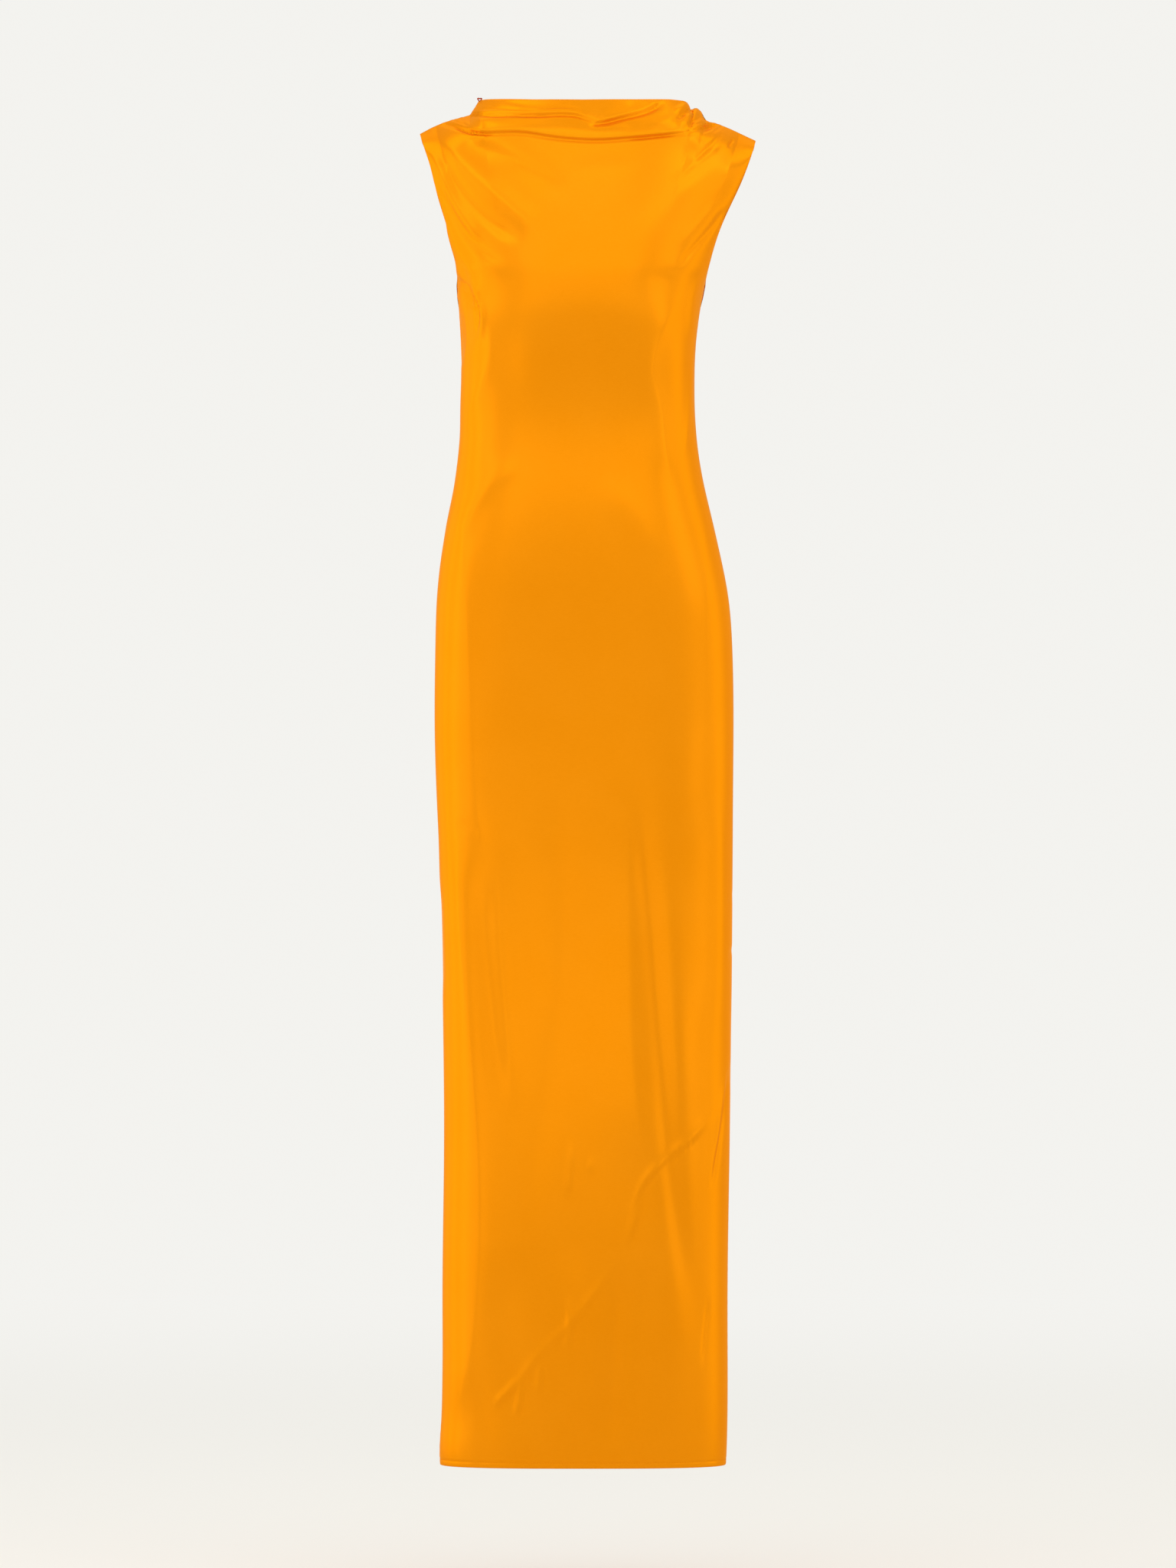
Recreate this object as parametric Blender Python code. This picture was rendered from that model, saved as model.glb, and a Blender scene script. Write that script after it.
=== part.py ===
"""Bias-cut satin evening gown with a draped neckline, filled out and hollow.

Metres, +Z up. The front faces -Y, and +X is to the right seen from the front. The origin lies
midway between the two shoulder seams, where the gown is held up, so heights are mostly negative.
Each panel is a thin wall: rows of points run across it, one for each section of the tables
below, and the folds are pushed out of that form along its normals.
"""

from collections import namedtuple

import bmesh
import bpy
import numpy as np

WALL = 0.0015  # thickness of the cloth wall
SEAM_GAP = 0.0003  # what parts the front from the back along their seams
HEM = -1.4760  # height of the hem
UNDERARM = -0.182  # height of the lowest point of each armhole
SIGHT_DISTANCE = 12.0  # how far off the places of the folds were read
SIGHT_X = 0.005
SIGHT_Z = -0.7324
SATIN_ORANGE = (0.90, 0.27, 0.005, 1.0)
SATIN_ROUGHNESS = 0.42

# Rings below the armholes, level all round. left and right are half-widths, front and back are
# depths from the side seams, and power is how square the ring is (2 is an ellipse).
Ring = namedtuple("Ring", "name height left right front back power")
RINGS = [
    Ring("hem edge", HEM, 0.1570, 0.1560, 0.0955, 0.0985, 2.9),
    Ring("above hem", -1.4640, 0.1574, 0.1566, 0.0962, 0.0985, 2.9),
    Ring("ankle", -1.4330, 0.1559, 0.1575, 0.0972, 0.0985, 2.9),
    Ring("calf", -1.2990, 0.1542, 0.1577, 0.0985, 0.0985, 2.9),
    Ring("below knee", -1.1310, 0.1525, 0.1600, 0.0985, 0.0990, 2.9),
    Ring("knee", -0.9800, 0.1534, 0.1617, 0.0968, 0.1005, 2.95),
    Ring("above knee", -0.8800, 0.1550, 0.1626, 0.0955, 0.1030, 3.0),
    Ring("thigh", -0.7800, 0.1590, 0.1634, 0.0955, 0.1075, 3.0),
    Ring("low hip", -0.6790, 0.1626, 0.1642, 0.0980, 0.1135, 3.0),
    Ring("hip", -0.5780, 0.1618, 0.1626, 0.1020, 0.1170, 3.0),
    Ring("high hip", -0.5280, 0.1600, 0.1584, 0.1040, 0.1145, 3.0),
    Ring("belly", -0.4780, 0.1542, 0.1485, 0.1048, 0.1070, 2.95),
    Ring("above belly", -0.4270, 0.1450, 0.1367, 0.1038, 0.0970, 2.9),
    Ring("below waist", -0.3770, 0.1376, 0.1268, 0.1015, 0.0870, 2.85),
    Ring("waist", -0.3050, 0.1333, 0.1215, 0.1030, 0.0805, 2.8),
    Ring("under bust", -0.2620, 0.1338, 0.1224, 0.1095, 0.0850, 2.75),
    Ring("bust", -0.2200, 0.1360, 0.1268, 0.1160, 0.0925, 2.65),
    Ring("underarm", UNDERARM, 0.1383, 0.1338, 0.1190, 0.0960, 2.55),
]

# Rows above the underarm, from the armholes up to the shoulder seams and the neckline. middle is
# the height on the centre line, low_left and low_right are the heights at the armhole edges,
# depth is how far the centre stands out and edge how far the armhole edge does. bow is the share
# of the half-width over which the row bows out, slack blends the row's droop from the shape of
# the shoulder line (0) to an even curve (1), and wrap is how far round the side the row turns
# (higher is flatter).
Row = namedtuple("Row", "name middle low_left low_right left right depth edge bow slack power wrap")
FRONT_YOKE = [
    Row("foot", -0.171, -0.175, -0.175, 0.1386, 0.1353, 0.1195, 0.018, 1.00, 1.0, 2.5, 0.43),
    Row("above foot", -0.150, -0.162, -0.162, 0.1400, 0.1385, 0.1185, 0.031, 1.00, 1.0, 2.35, 0.48),
    Row("low armhole", -0.112, -0.128, -0.128, 0.1478, 0.1485, 0.1105, 0.045, 1.00, 1.0, 2.3, 0.55),
    Row("armhole", -0.070, -0.086, -0.088, 0.1605, 0.1660, 0.0985, 0.050, 1.00, 1.0, 2.2, 0.64),
    Row("high armhole", -0.032, -0.052, -0.058, 0.1690, 0.1790, 0.0870, 0.042, 1.00, 0.7, 2.2, 0.72),
    Row("shoulder", -0.006, -0.031, -0.038, 0.1760, 0.1860, 0.0765, 0.026, 0.90, 0.4, 2.1, 0.75),
    Row("neckline", 0.0130, -0.0210, -0.0285, 0.1790, 0.1886, 0.0640, 0.0, 0.63, 0.0, 2.0, 0.60),
]
BACK_YOKE = [
    Row("foot", -0.175, -0.175, -0.175, 0.1386, 0.1353, 0.0966, 0.017, 1.00, 1.0, 2.5, 0.43),
    Row("above foot", -0.162, -0.162, -0.162, 0.1400, 0.1385, 0.0976, 0.028, 1.00, 1.0, 2.35, 0.48),
    Row("low armhole", -0.128, -0.128, -0.128, 0.1478, 0.1485, 0.0985, 0.041, 1.00, 1.0, 2.3, 0.55),
    Row("armhole", -0.080, -0.086, -0.088, 0.1605, 0.1660, 0.0950, 0.045, 1.00, 1.0, 2.2, 0.64),
    Row("high armhole", -0.036, -0.052, -0.058, 0.1690, 0.1790, 0.0830, 0.038, 1.00, 0.7, 2.2, 0.72),
    Row("shoulder", -0.010, -0.031, -0.038, 0.1760, 0.1860, 0.0690, 0.024, 0.90, 0.4, 2.1, 0.75),
    Row("neckline", 0.0130, -0.0210, -0.0285, 0.1790, 0.1886, 0.0540, 0.0, 0.63, 0.0, 2.0, 0.60),
]

# Rows of points for each row of the yoke tables, closest where the neckline is draped.
FRONT_STEPS = [1, 2, 3, 4, 6, 6, 6]
BACK_STEPS = [1, 1, 1, 2, 2, 2, 2]

# The shoulder line as a share of its whole droop on the left and on the right, over the share of
# the half-width.
Droop = namedtuple("Droop", "across left right")
SHOULDER_LINE = [
    Droop(0.00, 0.00, 0.00),
    Droop(0.30, -0.02, -0.02),
    Droop(0.50, -0.07, -0.05),
    Droop(0.585, -0.09, -0.03),
    Droop(0.602, -0.09, 0.00),
    Droop(0.615, -0.09, 0.08),
    Droop(0.624, -0.09, 0.19),
    Droop(0.635, -0.09, 0.17),
    Droop(0.648, 0.00, 0.13),
    Droop(0.661, 0.12, 0.14),
    Droop(0.678, 0.25, 0.20),
    Droop(0.689, 0.35, 0.26),
    Droop(0.696, 0.39, 0.40),
    Droop(0.729, 0.44, 0.50),
    Droop(0.760, 0.48, 0.52),
    Droop(0.808, 0.55, 0.60),
    Droop(0.860, 0.64, 0.70),
    Droop(0.930, 0.80, 0.85),
    Droop(1.000, 1.00, 1.00),
]

# Folds, as paths of (x, z) places on the plane of the side seams, where they show from
# SIGHT_DISTANCE in front of or behind the gown. rise is how far the cloth is pushed out (or in,
# below zero), wide_left and wide_right are the fold's widths on the two sides of its path, going
# along it, and fade is the share of its length over which each end dies away.
Fold = namedtuple("Fold", "name path rise wide_left wide_right fade")
FRONT_FOLDS = [
    Fold("neck roll", [
        (-0.1307, -0.0034), (-0.0520, 0.0017), (-0.0142, -0.0008), (0.0176, -0.0092),
    ], 0.0046, 0.0080, 0.0045, 0.14),
    Fold("kink roll", [
        (0.0142, -0.0096), (0.0444, -0.0008), (0.0872, 0.0109),
    ], 0.0048, 0.0080, 0.0045, 0.16),
    Fold("chest roll", [
        (-0.1575, -0.0059), (-0.1257, -0.0168), (-0.0687, -0.0193), (-0.0142, -0.0226),
        (0.0293, -0.0260), (0.0754, -0.0235), (0.1257, -0.0109), (0.1458, -0.0025),
    ], 0.0080, 0.0110, 0.0055, 0.1),
    Fold("under roll", [
        (-0.1542, -0.0142), (-0.1249, -0.0268), (-0.0687, -0.0302), (0.0293, -0.0360),
        (0.0754, -0.0335), (0.1257, -0.0193), (0.1425, -0.0109),
    ], -0.0040, 0.0050, 0.0130, 0.12),
    Fold("left drape", [
        (-0.1693, -0.0218), (-0.1425, -0.0444), (-0.1064, -0.0637), (-0.0603, -0.0905),
        (-0.0226, -0.1190),
    ], 0.0044, 0.0110, 0.0110, 0.25),
    Fold("left hollow", [
        (-0.1567, -0.0285), (-0.1257, -0.0721), (-0.0939, -0.1089), (-0.0603, -0.1349),
    ], -0.0038, 0.0110, 0.0090, 0.25),
    Fold("left side drape", [
        (-0.1668, -0.0385), (-0.1458, -0.0754), (-0.1249, -0.1106), (-0.1022, -0.1492),
    ], 0.0034, 0.0090, 0.0090, 0.25),
    Fold("left side hollow", [
        (-0.1642, -0.0603), (-0.1425, -0.1047), (-0.1123, -0.1391), (-0.0754, -0.1642),
    ], -0.0030, 0.0090, 0.0090, 0.25),
    Fold("left crumple", [
        (-0.1358, -0.1693), (-0.1240, -0.1969), (-0.1207, -0.2221), (-0.1265, -0.2472),
    ], -0.0024, 0.0080, 0.0080, 0.3),
    Fold("right drape", [
        (0.1022, -0.0939), (0.1366, -0.0603), (0.1617, -0.0268),
    ], 0.0028, 0.0090, 0.0090, 0.3),
    Fold("armhole hollow", [
        (0.1601, -0.0989), (0.1366, -0.1307), (0.1073, -0.1676),
    ], -0.0034, 0.0080, 0.0100, 0.25),
    Fold("right side drape", [
        (0.1366, -0.1676), (0.1240, -0.1969), (0.1173, -0.2514),
    ], 0.0026, 0.0090, 0.0090, 0.3),
    Fold("belly arc", [
        (0.0109, -0.3981), (0.0419, -0.4232), (0.0696, -0.4567), (0.0888, -0.4986),
    ], 0.0016, 0.0120, 0.0120, 0.35),
    Fold("skirt ridge", [
        (0.0369, -0.6997), (0.0419, -0.7793), (0.0461, -0.9888), (0.0469, -1.1145),
        (0.0419, -1.2151),
    ], 0.0034, 0.0130, 0.0160, 0.3),
    Fold("skirt hollow", [
        (0.0670, -0.7039), (0.0637, -0.7793), (0.0637, -0.9972), (0.0620, -1.1145),
        (0.0536, -1.2319),
    ], -0.0036, 0.0160, 0.0130, 0.3),
    Fold("right soft ridge", [
        (0.0721, -0.7626), (0.0888, -0.9218), (0.1006, -1.0475), (0.1073, -1.1313),
    ], 0.0020, 0.0140, 0.0130, 0.3),
    Fold("middle hollow", [
        (-0.0168, -0.7793), (-0.0184, -0.9637), (-0.0226, -1.1648),
    ], -0.0022, 0.0150, 0.0150, 0.35),
    Fold("left soft ridge", [
        (-0.1022, -0.8129), (-0.0897, -0.9050), (-0.0771, -1.0391),
    ], 0.0020, 0.0120, 0.0120, 0.3),
    Fold("left soft hollow", [
        (-0.1173, -0.7710), (-0.1106, -0.8799), (-0.0989, -1.0475), (-0.0939, -1.1816),
    ], -0.0022, 0.0120, 0.0120, 0.3),
    Fold("left side band", [
        (-0.1441, -0.7877), (-0.1425, -0.9888), (-0.1341, -1.2151), (-0.1358, -1.4246),
    ], 0.0024, 0.0120, 0.0120, 0.2),
    Fold("low ridge", [
        (0.0067, -1.1816), (0.0201, -1.3157), (0.0218, -1.4497),
    ], 0.0026, 0.0170, 0.0160, 0.35),
    Fold("low hollow", [
        (-0.0520, -1.1816), (-0.0587, -1.2989), (-0.0419, -1.4497),
    ], -0.0024, 0.0180, 0.0170, 0.35),
    Fold("low right ridge", [
        (0.0888, -1.2319), (0.0972, -1.3324), (0.0989, -1.4497),
    ], 0.0024, 0.0150, 0.0150, 0.35),
]
BACK_FOLDS = [
    Fold("neck dip", [(-0.095, -0.012), (0.000, -0.030), (0.095, -0.012)], -0.0030, 0.012, 0.012, 0.25),
    Fold("left blade", [(-0.142, -0.040), (-0.105, -0.100), (-0.070, -0.175)], 0.0044, 0.014, 0.014, 0.3),
    Fold("right blade", [(0.147, -0.040), (0.110, -0.110), (0.075, -0.188)], 0.0044, 0.014, 0.014, 0.3),
    Fold("waist crease", [(-0.095, -0.318), (-0.020, -0.340), (0.080, -0.322)], -0.0036, 0.013, 0.013, 0.3),
    Fold("left fall", [(-0.066, -0.700), (-0.062, -0.950), (-0.072, -1.440)], 0.0058, 0.021, 0.020, 0.3),
    Fold("middle hollow", [(-0.018, -0.740), (-0.012, -1.000), (-0.006, -1.400)], -0.0050, 0.021, 0.021, 0.3),
    Fold("right fall", [(0.052, -0.680), (0.058, -0.950), (0.050, -1.300)], 0.0058, 0.020, 0.021, 0.3),
]

# Gathers along each shoulder seam of the front: how many, how high at the seam, and how far down
# the cloth they run before they die away.
GATHERS = 6
GATHER_RISE = 0.0016
GATHER_REACH = 0.030
GATHER_FROM = 0.64  # share of the half-width where the first gather starts

# Columns of points across a panel, as angles in degrees from the centre line. On the front one
# stands on the crest and one in the hollow of each gather, with more round the side.
GATHER_PLACES = np.linspace(GATHER_FROM, 1, 2 * GATHERS + 1)
GATHER_ANGLES = np.degrees(np.arcsin(GATHER_PLACES))[:-1]
SIDE_ANGLES = np.linspace(GATHER_ANGLES[-1], 90, 4)[1:]
MIDDLE_ANGLES = np.linspace(-GATHER_ANGLES[0], GATHER_ANGLES[0], 23)[1:-1]
FLANK_ANGLES = np.concatenate([GATHER_ANGLES, SIDE_ANGLES])
FRONT_ANGLES = np.concatenate([-FLANK_ANGLES[::-1], MIDDLE_ANGLES, FLANK_ANGLES])
BACK_ANGLES = np.linspace(-90, 90, 27)
LONG_STEP = 0.11  # rings further apart than this get a row of points between them
PATH_STEPS = 40  # straight pieces in a fold's curve
SEAM_CALM = 0.014  # how far from a seam the folds reach their full height


def spline(knots, values, places):
    """Natural cubic spline through values, a row for each knot, read at places."""
    gaps = np.diff(knots)
    slopes = np.diff(values, axis=0) / gaps[:, None]
    system = np.eye(len(knots))
    right = np.zeros_like(values)
    for i in range(1, len(knots) - 1):
        system[i, i - 1 : i + 2] = gaps[i - 1], 2 * (gaps[i - 1] + gaps[i]), gaps[i]
        right[i] = 6 * (slopes[i] - slopes[i - 1])
    bend = np.linalg.solve(system, right)
    cell = np.clip(np.searchsorted(knots, places) - 1, 0, len(gaps) - 1)
    gap = gaps[cell][:, None]
    after = (places - knots[cell])[:, None]
    before = gap - after
    return (
        (bend[cell] * before**3 + bend[cell + 1] * after**3) / (6 * gap)
        + (values[cell] / gap - bend[cell] * gap / 6) * before
        + (values[cell + 1] / gap - bend[cell + 1] * gap / 6) * after
    )


def as_row(ring, depth):
    """A level ring as a row of the panel that stands out by depth."""
    level = ring.height
    sides = ring.left, ring.right
    return Row(ring.name, level, level, level, *sides, depth, 0.0, 1.0, 1.0, ring.power, 1 / ring.power)


def row_points(row, angles, facing):
    """One row across a panel; facing is -1 for the front and +1 for the back."""
    turn = np.radians(angles)
    across = np.abs(np.sin(turn))
    on_left = turn < 0
    x = np.sin(turn) * np.where(on_left, row.left, row.right)
    bow = np.clip(1 - (across / row.bow) ** row.power, 0, 1) ** row.wrap
    y = facing * (row.edge + (row.depth - row.edge) * bow)
    places, left, right = np.array(SHOULDER_LINE).T
    shoulder = np.where(on_left, np.interp(across, places, left), np.interp(across, places, right))
    droop = (1 - row.slack) * shoulder + row.slack * across**2
    z = row.middle - droop * (row.middle - np.where(on_left, row.low_left, row.low_right))
    return np.stack([x, y, z], axis=-1)


def row_heights(rows, steps):
    """Centre-line heights of a panel's rows of points, from the hem up.

    steps holds how many rows of points there are for each row of its yoke table."""
    knots = [row.middle for row in rows]
    lowest_yoke = len(rows) - len(steps)
    heights = [knots[0]]
    for i in range(1, len(knots)):
        if i >= lowest_yoke:
            count = steps[i - lowest_yoke]
        else:
            count = 2 if knots[i] - knots[i - 1] > LONG_STEP else 1
        heights += list(np.linspace(knots[i - 1], knots[i], count + 1)[1:])
    return np.array(heights)


def base_form(rows, steps, angles, facing):
    """The smooth form of a panel: a grid of points, rows from the hem up."""
    knots = np.array([row.middle for row in rows])
    table = np.stack([row_points(row, angles, facing) for row in rows])
    flat = table.reshape(len(rows), -1)
    heights = row_heights(rows, steps)
    grid = spline(knots, flat, heights).reshape(len(heights), len(angles), 3)
    grid[:, :, 1] = facing * np.maximum(facing * grid[:, :, 1], 0.0)
    return grid


def normals(grid, facing):
    """Outward unit normals of a grid of points."""
    across = np.gradient(grid, axis=1)
    along = np.gradient(grid, axis=0)
    out = np.cross(across, along) * -facing
    return out / np.linalg.norm(out, axis=2, keepdims=True)


def seam_mask(rows, grid):
    """Which points of a grid lie on a side seam or a shoulder seam."""
    mask = np.zeros(grid.shape[:2], bool)
    low = grid[:, 0, 2] <= UNDERARM + 1e-6
    mask[low, 0] = mask[low, -1] = True
    top = rows[-1]
    across = np.abs(grid[-1, :, 0]) / np.where(grid[-1, :, 0] < 0, top.left, top.right)
    mask[-1, across >= top.bow] = True
    return mask


def ease(share):
    """A smooth step from 0 to 1."""
    share = np.clip(share, 0, 1)
    return share * share * (3 - 2 * share)


def seam_fade(grid):
    """0 on the side and shoulder seams, rising to 1 at SEAM_CALM from them."""
    steps = np.linalg.norm(np.diff(grid, axis=1), axis=2)
    from_left = np.pad(np.cumsum(steps, axis=1), ((0, 0), (1, 0)))
    from_side = np.minimum(from_left, from_left[:, -1:] - from_left)
    above = np.clip(grid[..., 2] - UNDERARM, 0, None)
    return ease(np.hypot(from_side, above) / SEAM_CALM) * ease((grid[-1, :, 2] - grid[..., 2]) / SEAM_CALM)


def seen_places(grid, facing):
    """Where each point shows on the plane of the side seams, from SIGHT_DISTANCE away."""
    scale = SIGHT_DISTANCE / (SIGHT_DISTANCE - facing * grid[..., 1])
    x = SIGHT_X + (grid[..., 0] - SIGHT_X) * scale
    z = SIGHT_Z + (grid[..., 2] - SIGHT_Z) * scale
    return np.stack([x, z], axis=-1)


def fold_path(fold):
    """Points along the smooth curve through a fold's places."""
    places = np.array(fold.path)
    lengths = np.linalg.norm(np.diff(places, axis=0), axis=1)
    knots = np.concatenate([[0.0], np.cumsum(lengths)])
    return spline(knots, places, np.linspace(0, knots[-1], PATH_STEPS + 1))


def fold_rise(fold, seen):
    """How far a fold pushes out the cloth at each seen place."""
    path = fold_path(fold)
    starts = path[:-1]
    steps = np.diff(path, axis=0)
    offset = seen[..., None, :] - starts
    along = np.clip((offset * steps).sum(-1) / (steps**2).sum(-1), 0, 1)
    gap = offset - along[..., None] * steps
    nearest = (gap**2).sum(-1).argmin(-1)[..., None]
    gap = np.take_along_axis(gap, nearest[..., None], -2)[..., 0, :]
    place = (nearest + np.take_along_axis(along, nearest, -1))[..., 0] / PATH_STEPS
    step = steps[nearest[..., 0]]
    side = step[..., 0] * gap[..., 1] - step[..., 1] * gap[..., 0]
    width = np.where(side > 0, fold.wide_left, fold.wide_right)
    ends = ease(np.minimum(place, 1 - place) / fold.fade)
    return fold.rise * np.exp(-(gap**2).sum(-1) / width**2) * ends


def gather_rise(rows, grid):
    """The gathers that run down from the shoulder seams."""
    top = rows[-1]
    width = np.where(grid[..., 0] < 0, top.left, top.right)
    share = (np.abs(grid[..., 0]) / width - GATHER_FROM) / (1 - GATHER_FROM)
    seam = grid[-1, :, 2][None, :]
    drop = np.clip((seam - grid[..., 2]) / GATHER_REACH, 0, 1)
    wave = 0.5 - 0.5 * np.cos(2 * np.pi * GATHERS * np.clip(share, 0, 1))
    return GATHER_RISE * wave * (1 - drop) ** 2 * (0.5 + 0.5 * ease(4 * drop))


def panel_points(rows, steps, angles, facing, folds, gathered):
    """Outer and inner points of a panel."""
    base = base_form(rows, steps, angles, facing)
    out = normals(base, facing)
    seen = seen_places(base, facing)
    rise = sum(fold_rise(fold, seen) for fold in folds) * seam_fade(base)
    if gathered:
        rise = rise + gather_rise(rows, base)
    seams = seam_mask(rows, base)
    outer = base + out * rise[..., None]
    lean = normals(outer, facing)
    lean[seams, 1] = 0.0
    lean /= np.linalg.norm(lean, axis=2, keepdims=True)
    outer[seams, 1] = facing * SEAM_GAP / 2
    inner = outer - lean * WALL
    inner[seams, 1] = facing * SEAM_GAP / 2
    return outer, inner


def wall(name, outer, inner, facing):
    """A closed wall between two grids of points, as an object of its own."""
    rows, columns = outer.shape[:2]
    mesh = bmesh.new()
    grids = []
    for grid in (outer, inner):
        grids.append([[mesh.verts.new(grid[i, j]) for j in range(columns)] for i in range(rows)])
    out, back = grids
    for i in range(rows - 1):
        for j in range(columns - 1):
            mesh.faces.new((out[i][j], out[i][j + 1], out[i + 1][j + 1], out[i + 1][j]))
            mesh.faces.new((back[i][j], back[i + 1][j], back[i + 1][j + 1], back[i][j + 1]))
    for i in range(rows - 1):
        mesh.faces.new((out[i][0], out[i + 1][0], back[i + 1][0], back[i][0]))
        mesh.faces.new((out[i][-1], back[i][-1], back[i + 1][-1], out[i + 1][-1]))
    for j in range(columns - 1):
        mesh.faces.new((out[0][j], back[0][j], back[0][j + 1], out[0][j + 1]))
        mesh.faces.new((out[-1][j], out[-1][j + 1], back[-1][j + 1], back[-1][j]))
    bmesh.ops.triangulate(mesh, faces=mesh.faces[:], quad_method="SHORT_EDGE")
    if facing > 0:
        bmesh.ops.reverse_faces(mesh, faces=mesh.faces[:])
    data = bpy.data.meshes.new(name)
    mesh.to_mesh(data)
    mesh.free()
    data.shade_smooth()
    piece = bpy.data.objects.new(name, data)
    bpy.context.scene.collection.objects.link(piece)
    return piece


def satin(name):
    """Plain satin for one panel."""
    material = bpy.data.materials.new(name)
    material.use_nodes = True
    shader = material.node_tree.nodes["Principled BSDF"]
    shader.inputs["Base Color"].default_value = SATIN_ORANGE
    shader.inputs["Roughness"].default_value = SATIN_ROUGHNESS
    shader.inputs["Metallic"].default_value = 0.0
    return material


def build_panel(name, yoke, steps, depths, angles, facing, folds, gathered):
    """One panel from its tables."""
    rows = [as_row(ring, depth) for ring, depth in zip(RINGS, depths)] + yoke
    outer, inner = panel_points(rows, steps, angles, facing, folds, gathered)
    piece = wall(name, outer, inner, facing)
    piece.data.materials.append(satin(name + "_satin"))
    return piece


def main():
    for old in list(bpy.data.objects):
        bpy.data.objects.remove(old)
    fronts = [ring.front for ring in RINGS]
    backs = [ring.back for ring in RINGS]
    build_panel("front_panel", FRONT_YOKE, FRONT_STEPS, fronts, FRONT_ANGLES, -1, FRONT_FOLDS, True)
    build_panel("back_panel", BACK_YOKE, BACK_STEPS, backs, BACK_ANGLES, 1, BACK_FOLDS, False)


main()
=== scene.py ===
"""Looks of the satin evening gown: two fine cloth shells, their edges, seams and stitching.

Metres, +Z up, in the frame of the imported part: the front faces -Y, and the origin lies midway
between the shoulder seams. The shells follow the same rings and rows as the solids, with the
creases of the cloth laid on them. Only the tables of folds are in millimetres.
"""

import math
from collections import namedtuple

import bpy
import numpy as np
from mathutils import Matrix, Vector


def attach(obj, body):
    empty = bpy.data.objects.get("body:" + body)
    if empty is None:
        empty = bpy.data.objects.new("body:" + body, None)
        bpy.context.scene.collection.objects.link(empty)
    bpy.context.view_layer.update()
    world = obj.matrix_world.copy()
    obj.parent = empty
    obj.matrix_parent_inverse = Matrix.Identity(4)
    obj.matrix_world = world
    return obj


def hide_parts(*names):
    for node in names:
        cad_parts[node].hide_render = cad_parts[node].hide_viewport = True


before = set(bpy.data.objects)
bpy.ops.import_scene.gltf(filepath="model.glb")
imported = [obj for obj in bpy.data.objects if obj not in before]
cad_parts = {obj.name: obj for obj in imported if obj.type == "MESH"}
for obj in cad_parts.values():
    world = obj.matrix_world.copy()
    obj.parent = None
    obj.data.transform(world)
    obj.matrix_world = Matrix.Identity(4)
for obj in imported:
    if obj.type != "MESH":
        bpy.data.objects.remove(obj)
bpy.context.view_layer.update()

# --- Sizes of the gown -------------------------------------------------------------------------

HEM = -1.4760
UNDERARM = -0.182
CLOTH = 0.0008  # thickness of the shells
SEAM_GAP = 0.00006  # between the front and the back along their seams
TINY = 1e-6  # slack for rounding
MM_PER_METRE = 1000
SIGHT_DISTANCE = 12.0  # how far off the folds' places are seen from
SIGHT_PLACE = (0.005, -0.7324)  # and the x and z of that viewpoint

# Level rings from the hem up: the half-widths and the depths, and how square the outline is.
Ring = namedtuple("Ring", "name height left right front back power")
RINGS = [
    Ring("hem edge", HEM, 0.1570, 0.1560, 0.0955, 0.0985, 2.9),
    Ring("above hem", -1.4640, 0.1574, 0.1566, 0.0962, 0.0985, 2.9),
    Ring("ankle", -1.4330, 0.1559, 0.1575, 0.0972, 0.0985, 2.9),
    Ring("calf", -1.2990, 0.1542, 0.1577, 0.0985, 0.0985, 2.9),
    Ring("below knee", -1.1310, 0.1525, 0.1600, 0.0985, 0.0990, 2.9),
    Ring("knee", -0.9800, 0.1534, 0.1617, 0.0968, 0.1005, 2.95),
    Ring("above knee", -0.8800, 0.1550, 0.1626, 0.0955, 0.1030, 3.0),
    Ring("thigh", -0.7800, 0.1590, 0.1634, 0.0955, 0.1075, 3.0),
    Ring("low hip", -0.6790, 0.1626, 0.1642, 0.0980, 0.1135, 3.0),
    Ring("hip", -0.5780, 0.1618, 0.1626, 0.1020, 0.1170, 3.0),
    Ring("high hip", -0.5280, 0.1600, 0.1584, 0.1040, 0.1145, 3.0),
    Ring("belly", -0.4780, 0.1542, 0.1485, 0.1048, 0.1070, 2.95),
    Ring("above belly", -0.4270, 0.1450, 0.1367, 0.1038, 0.0970, 2.9),
    Ring("below waist", -0.3770, 0.1376, 0.1268, 0.1015, 0.0870, 2.85),
    Ring("waist", -0.3050, 0.1333, 0.1215, 0.1030, 0.0805, 2.8),
    Ring("under bust", -0.2620, 0.1338, 0.1224, 0.1095, 0.0850, 2.75),
    Ring("bust", -0.2200, 0.1360, 0.1268, 0.1160, 0.0925, 2.65),
    Ring("underarm", UNDERARM, 0.1383, 0.1338, 0.1190, 0.0960, 2.55),
]

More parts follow.
